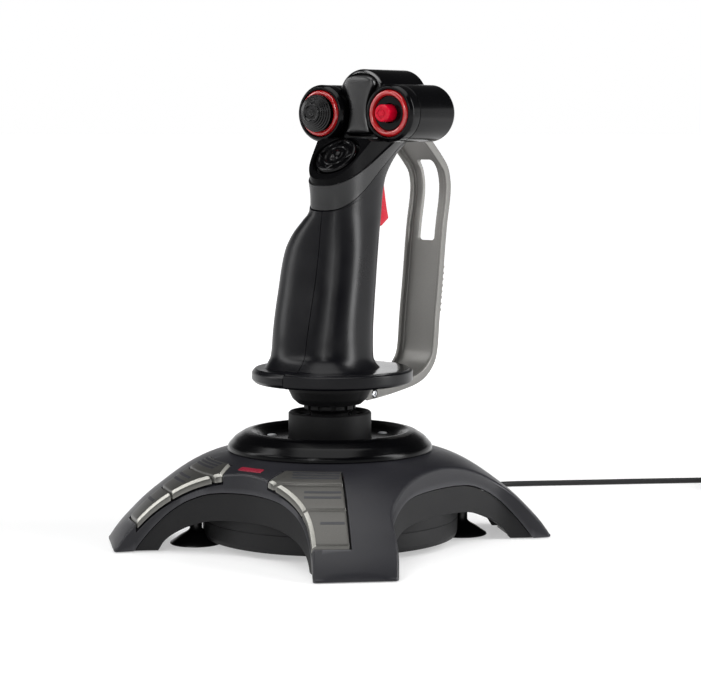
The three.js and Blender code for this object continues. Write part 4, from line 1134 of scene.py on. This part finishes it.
recess = on_hat(lathe_data(fillet([(0, -4.6), (12.3, -4.6), (12.3, -0.5), (13.0, 0.4), (13.0, 12), (0, 12)], [0, 0.5, 0.4, 0, 0, 0], 3), 96))
well = on_hat(lathe_data([(0, -11), (5.2, -11), (5.2, 2), (0, 2)], 48))
pods = [bar_data((sx * 20.8, 10, 207.2), (sx * 20.8, 70, 207.2), 14.3, seg=96) for sx in (1, -1)]
pock2 = prism_data([(22, 150.6), (60, 150.6), (60, 184.5), (22, 184.5)], -6.3, 6.3, "yzx")
V, F = loft_data([sect(-float(NF[0](z)) + 0.75, float(NF[0](z)) - 0.75, float(NF[1](z)) + 0.75, float(NF[2](z)) - 0.75, z, 2.6) for z in list(np.arange(150, 194.2, 1.5)) + [194.9]])
boolean(hneck, [(V, F)], "UNION", sharp=32)
boolean(hneck, [below, front_cut, recess, well] + pods + [pock2, bar_data((-11, 30, 179.5), (11, 30, 179.5), 1.8, seg=32)], sharp=32)
# the band between the groove and the sloping rim gets the lighter copy of the neck black: painted highlight
finish(hneck, M["neckband_painted_highlight"], lambda c, n_: on_line(BAND_L, c.y) < c.z < on_line(RIM_L, c.y) + 0.2 and c.z < c.y + 181.6)
finish(hneck, M["grip"], lambda c, n_: c.z < on_line(BAND_L, c.y) + 0.1)
# four-way hat: dished disc with rings, four arrow ridges and a centre nub
hp = fillet([(0, -4.7), (3, -4.7), (3, -2.4), (10.6, -2.4), (10.9, -0.6), (10.2, 0.35), (9.0, 0.5), (8.6, 0.15), (6.6, 0.1), (6.2, 0.5), (5.6, 0.5), (5.2, 0.1), (3.4, 0.2), (2.6, 1.1), (1.4, 1.7), (0, 1.8)],
            [0, 0, 0, 0.3, 0.5, 0.5, 0.3, 0.2, 0.2, 0.2, 0.2, 0.2, 0.5, 0.5, 0.8, 0], 4)
V, F = on_hat(lathe_data(hp, 96))
hat = mesh_obj("hat_cap", V, F, M["gloss"], "hat_body", "hat_disc", sharp=36)
arrows = []
for q in range(4):
    a_ = q * math.pi / 2
    c, s = math.cos(a_), math.sin(a_)
    rings = []
    for z, k in ((-0.3, 1.0), (0.75, 1.0), (1.0, 0.72)):
        pts = [(9.9, 0), (7.4, 2.3), (7.0, 1.9), (8.6, 0), (7.0, -1.9), (7.4, -2.3)]
        cx = 8.2
        rings.append([((cx + (x - cx) * k) * c - y * k * s, (cx + (x - cx) * k) * s + y * k * c, z) for x, y in pts])
    arrows.append(on_hat(loft_data(rings)))
boolean(hat, arrows, "UNION", sharp=36)

# ------------------------------------------------------------------ head body
POD = fillet([(0, 26.8), (13.8, 26.8), (14, 27.0), (14, 55.7), (12.4, 58.5), (9.6, 59.1), (0, 59.3)], [0, 0.1, 0.1, 2.2, 1.6, 2, 0], 8)
TUBE = fillet([(0, 25.5), (12.9, 25.5), (14.35, 27.2), (14.35, 61.9), (12.4, 64.5), (0, 65.1)], [0, 1.5, 1.8, 2.5, 2, 0], 8)
V, F = lathe_data(POD, 128, (20.8, 0, 207.2), (0, 1, 0), (1, 0, 0))
head = mesh_obj("head_shell", V, F, M["gloss"], "stick", "head_body", sharp=32)
boolean(head, [lathe_data(POD, 128, (-20.8, 0, 207.2), (0, 1, 0), (1, 0, 0)), lathe_data(TUBE, 128, (0, 0, 214.4), (0, 1, 0), (1, 0, 0)),
               box_data(-20.4, 20.4, 26.85, 53.6, 195.2, 213.03), prism_data(fillet([(-9.8, 195.25), (9.8, 195.25), (9.8, 200), (8, 203), (8, 212), (-8, 212), (-8, 203), (-9.8, 200)], [0.8, 0.8, 1, 1, 0.5, 0.5, 1, 1], 5, True), 24.9, 40.1, "xzy")], "UNION", sharp=32)
sd_f = spline([0, 4.8, 9.8, 14.4, 19, 23], [7.6, 6.3, 5.5, 5.8, 7.2, 9.15])
sd_right = [(float(sd_f(t)), 197.6 + t) for t in np.linspace(0, 23, 22)]
sd_out = sd_right + [(9.2, 221.7), (8.7, 223.2), (7.6, 224.4), (5.9, 225.2), (3.2, 225.75), (0, 225.9), (-3.2, 225.75), (-5.9, 225.2), (-7.6, 224.4), (-8.7, 223.2), (-9.2, 221.7)] + [(-x, z) for x, z in reversed(sd_right)] + [(-6.2, 197.0), (0, 196.85), (6.2, 197.0)]


def inset2(poly, d):
    P = np.array(poly)
    t = np.roll(P, -1, 0) - np.roll(P, 1, 0)
    t /= np.maximum(np.linalg.norm(t, axis=1), 1e-9)[:, None]
    n_ = np.stack([t[:, 1], -t[:, 0]], 1)
    for _ in range(2):
        n_ = (np.roll(n_, 1, 0) + 2 * n_ + np.roll(n_, -1, 0)) / 4
    return [tuple(p) for p in (P - n_ * d)]


seat = loft_data([[(x, y, z) for x, z in inset2(sd_out, g)] for y, g in ((30.1, -0.3), (26.3, -0.3), (25.35, -1.0), (17.1, -1.1))])
boolean(head, [seat] + [bar_data((sx * 20.8, 17, 207.2), (sx * 20.8, 26.8, 207.2), 14.3, seg=96) for sx in (1, -1)] + [bar_data((sx * 20.8, 17, 207.2), (sx * 20.8, 33.1, 207.2), 6, seg=48) for sx in (1, -1)], sharp=32)
# the chamfered lip round the saddle seat gets a lighter, shinier copy of the gloss black: painted highlight line
finish(head, M["lip_painted_highlight"], lambda c, n_: 25.0 < c.y < 26.5 and abs(c.x) < 11.5 and -0.95 < n_.y < -0.25)
cz = 211.5
srings = []
for y, g in ((28.1, 0.0), (24.4, 0.0), (23.8, 0.12), (23.3, 0.5)):
    srings.append([(x, y, z) for x, z in inset2(sd_out, g)])
base_in = inset2(sd_out, 0.5)
for q in range(1, 10):
    k = math.cos(q / 9 * 0.5 * math.pi)
    srings.append([(x * max(k, 0.02), 23.3 - 1.19 * math.sqrt(1 - k * k), cz + (z - cz) * (0.6 + 0.4 * k)) for x, z in base_in])
V, F = loft_data(srings)
mesh_obj("saddle", V, F, M["saddle"], "saddle_body", "saddle_button", sharp=36)
CAP = fillet([(6, 22.5), (11.6, 22.5), (11.6, 19.4), (12.0, 19.1), (12.8, 19.2), (14, 20.9), (14, 26.3), (13.8, 26.5), (6, 26.5)], [0, 0.3, 0.2, 0.3, 0.7, 1.2, 0.15, 0.1, 0], 5, True)
# the thumb button comes out of a raised bezel
CAP_R = fillet([(4.7, 19.9), (8.2, 19.9), (8.2, 22.5), (11.6, 22.5), (11.6, 19.4), (12.0, 19.1), (12.8, 19.2), (14, 20.9), (14, 26.3), (13.8, 26.5), (4.7, 26.5)], [0.3, 0.3, 0.1, 0.3, 0.2, 0.3, 0.7, 1.2, 0.15, 0.1, 0], 5, True)
RING = fillet([(8.5, 19.7), (9.1, 18.7), (9.9, 18.4), (10.7, 18.7), (11.3, 19.7), (11.3, 22.2), (8.5, 22.2)], [0.5, 0.8, 0.8, 0.8, 0.5, 0.2, 0.2], 5, True)
for side, sx in (("right", 1), ("left", -1)):
    o = (sx * 20.8, 0, 207.2)
    lathe(f"cap_{side}", CAP_R if side == "right" else CAP, M["gloss"], "stick", f"pod_cap_{side}", seg=128, origin=o, axis=(0, 1, 0), xdir=(1, 0, 0), closed=True, sharp=36)
    lathe(f"ring_{side}", RING, M["ringred"], "stick", f"red_ring_{side}", seg=112, origin=o, axis=(0, 1, 0), xdir=(1, 0, 0), closed=True, sharp=50)
tb = lathe("thumb_cap", fillet([(0, 13.5), (3.6, 13.5), (4.2, 14.2), (4.2, 21.9), (4.2, 30.1), (0, 30.1)], [0, 0.45, 0.6, 0, 0.2, 0], 4), M["crimson"], "thumb_body", "thumb_button", seg=80, origin=(20.8, 0, 207.2), axis=(0, 1, 0), sharp=36)
mark = lathe_data([(1.75, -1), (2.2, -1), (2.2, 0.35), (1.75, 0.35)], 48, (20.8, 13.5, 207.2), (0, 1, 0), closed=True)
cr = []
for dx, dz in ((1, 0), (-1, 0), (0, 1), (0, -1)):
    x0, x1 = sorted((dx * 0.9, dx * 3.0)) if dx else (-0.2, 0.2)
    z0, z1 = sorted((dz * 0.9, dz * 3.0)) if dz else (-0.2, 0.2)
    cr.append(box_data(20.8 + x0, 20.8 + x1, 12.5, 13.82, 207.2 + z0, 207.2 + z1))
boolean(tb, [mark] + cr, sharp=36)
prof = [(0, 12.75), (0.7, 12.65), (1.3, 12.2), (1.75, 12.2), (2.1, 12.75), (3.3, 12.7), (3.9, 11.95), (4.5, 11.9)]
rads = [0, 0.3, 0.2, 0.2, 0.3, 0.3, 0.3, 0.3]
rs = [4.9, 5.75, 6.6, 7.45, 8.3, 9.15]
ys = [12.2, 12.95, 13.75, 14.55, 15.35, 16.15]
for i in range(6):
    prof.append((rs[i], ys[i]))
    rads.append(0.16)
    if i < 5:
        prof.append((rs[i] + 0.1, ys[i] + 0.75))
        rads.append(0.1)
prof += [(9.2, 16.3), (8.6, 16.9), (4, 17.2), (4, 22.6), (0, 22.6)]
rads += [0.2, 0.2, 0, 0, 0]
lathe("cone_cap", fillet(prof, rads, 3), M["cone"], "cone_body", "cone_hat", seg=96, origin=(-20.8, 0, 207.2), axis=(0, 1, 0), sharp=50)

# ------------------------------------------------------------------ trigger and pinky button
TP = fillet([(27.6, 180.5), (29, 182), (31, 182.4), (33, 181.4), (35.6, 177.4), (37.4, 172), (38.6, 166), (39.8, 160.6), (41.4, 155.4), (35.2, 151.6), (30.4, 153), (29.6, 163), (28.4, 172)], [1.2, 1, 1, 1.5, 4, 8, 10, 8, 0.9, 1.6, 1.2, 8, 8], 5, True)
if sum(TP[i][0] * TP[(i + 1) % len(TP)][1] - TP[(i + 1) % len(TP)][0] * TP[i][1] for i in range(len(TP))) < 0:
    TP = TP[::-1]
tr = []
for x, d in ((-5.9, 1.1), (-5.75, 0.6), (-5.35, 0.2), (-4.8, 0), (4.8, 0), (5.35, 0.2), (5.75, 0.6), (5.9, 1.1)):
    tr.append([(x, y, z) for y, z in inset2(TP, d * 0.7)])
V, F = loft_data(tr)
trig = mesh_obj("trigger_blade", V, F, M["crimson"], "trigger_body", "trigger", sharp=36)
boolean(trig, [bar_data((-11, 30, 179.5), (11, 30, 179.5), 1.8, seg=32)], sharp=36)
lathe("pinky_cap", fillet([(0, 14), (4.1, 14), (4.1, 24.2), (2.8, 25.8), (0, 26.4)], [0, 0.2, 0.8, 1.2, 0], 4), M["crimson"], "pinky_body", "pinky_button", seg=56, origin=(0, 0, 92), axis=(0, 1, 0), sharp=40)

# ------------------------------------------------------------------ knuckle guard
GO = [(58, 200), (66, 197.6), (72.9, 192.7), (82, 185), (86.6, 179.9), (88.9, 171.3), (88.2, 162.9), (85.8, 152), (83.8, 138), (82, 123.3), (78.9, 101.9), (77.4, 87.5), (74.6, 80.5), (67.1, 74), (58.2, 71), (45, 69.2), (30, 67.8), (14, 66.9)]
gp = [(p[0], p[1]) for p in catmull([(y, z, 0) for y, z in GO], 7)]
G = np.array(gp)
for _ in range(6):
    G[1:-1] = (G[:-2] + 2 * G[1:-1] + G[2:]) / 4
T_ = np.gradient(G, axis=0)
T_ /= np.linalg.norm(T_, axis=1)[:, None]
NI = np.stack([T_[:, 1], -T_[:, 0]], 1)                # points to the hand
cs = fillet([(-11.4, 0), (11.4, 0), (11.4, 4.95), (9.6, 4.95), (9.2, 2.2), (-9.2, 2.2), (-9.6, 4.95), (-11.4, 4.95)], [1.2, 1.2, 0.6, 0.6, 1.0, 1.0, 0.6, 0.6], 5, True)
inside = 1.0 if (NI[len(NI) // 3] @ (np.array([50, 130]) - G[len(NI) // 3])) > 0 else -1.0
rings = []
for i in range(len(G)):
    rings.append([(x, G[i, 0] + NI[i, 0] * inside * d, G[i, 1] + NI[i, 1] * inside * d) for x, d in cs])
V, F = loft_data(rings)
guard = mesh_obj("guard_bow", V, F, M["guard"], "stick", "guard", sharp=34)
slot2 = fillet([(-5, 142.6), (5, 142.6), (5, 183.8), (-5, 183.8)], 1.7, 6, True)
slot_ch = []
boolean(guard, [prism_data(slot2, 74, 96, "xzy")], sharp=34)
ridges = []
for i in range(8):
    z = 107.5 + i * 3.1
    y = float(np.interp(z, G[::-1, 1][(G[::-1, 1] > 90) & (G[::-1, 1] < 160)], G[::-1, 0][(G[::-1, 1] > 90) & (G[::-1, 1] < 160)]))
    pr = [(0, -11.2), (0.45, -11.1), (0.8, -10.8), (0.95, -10.3), (0.95, 10.3), (0.8, 10.8), (0.45, 11.1), (0, 11.2)]
    ridges.append(lathe_data(pr, 20, (0, y - 0.1, z), (1, 0, 0)))
flange = prism_data([(14, 67.2), (32, 68.2), (32, 73.4), (14, 73.4)], -11.38, 11.38, "yzx")
boolean(guard, ridges + [flange], "UNION", sharp=34)
bowl_big = lathe_data([(0, 60), (15.8, 60), (15.8, 66.6), (18.7, 69.2), (20.7, 73.5), (21.3, 80), (0, 80)], 96)
room = lathe_data([(0, 60), (19.6, 60), (19.6, 67.9), (0, 67.9)], 96)
hp_ = [lathe_data([(0, 26.5), (14.3, 26.5), (14.3, 59.7), (0, 59.7)], 96, (sx * 20.8, 0, 207.2), (0, 1, 0)) for sx in (1, -1)]
tb_ = lathe_data([(0, 25), (14.7, 25), (14.7, 65.5), (0, 65.5)], 96, (0, 0, 214.8), (0, 1, 0))
boolean(guard, [bowl_big, room] + hp_ + [tb_, bar_data((5, 21.6, 70), (20, 21.6, 70), 1.3), bar_data((10.4, 21.6, 70), (20, 21.6, 70), 2.4, seg=32)], sharp=34)
gs = lathe("guard_bolt", fillet([(0, -0.2), (1.0, -0.2), (1.0, 5.3), (2.1, 5.3), (2.1, 5.7), (1.5, 6.2), (0, 6.38)], [0, 0, 0, 0.1, 0.2, 0.6, 0], 3), M["steel"], "stick", "guard_screw", seg=36, origin=(5.4, 21.6, 70), axis=(1, 0, 0))
boolean(gs, [place(c, (11.76, 21.6, 70), (1, 0, 0), (0, 1, 0.4)) for c in cross_cut(0.9, 0.24, 1.1)], sharp=30)
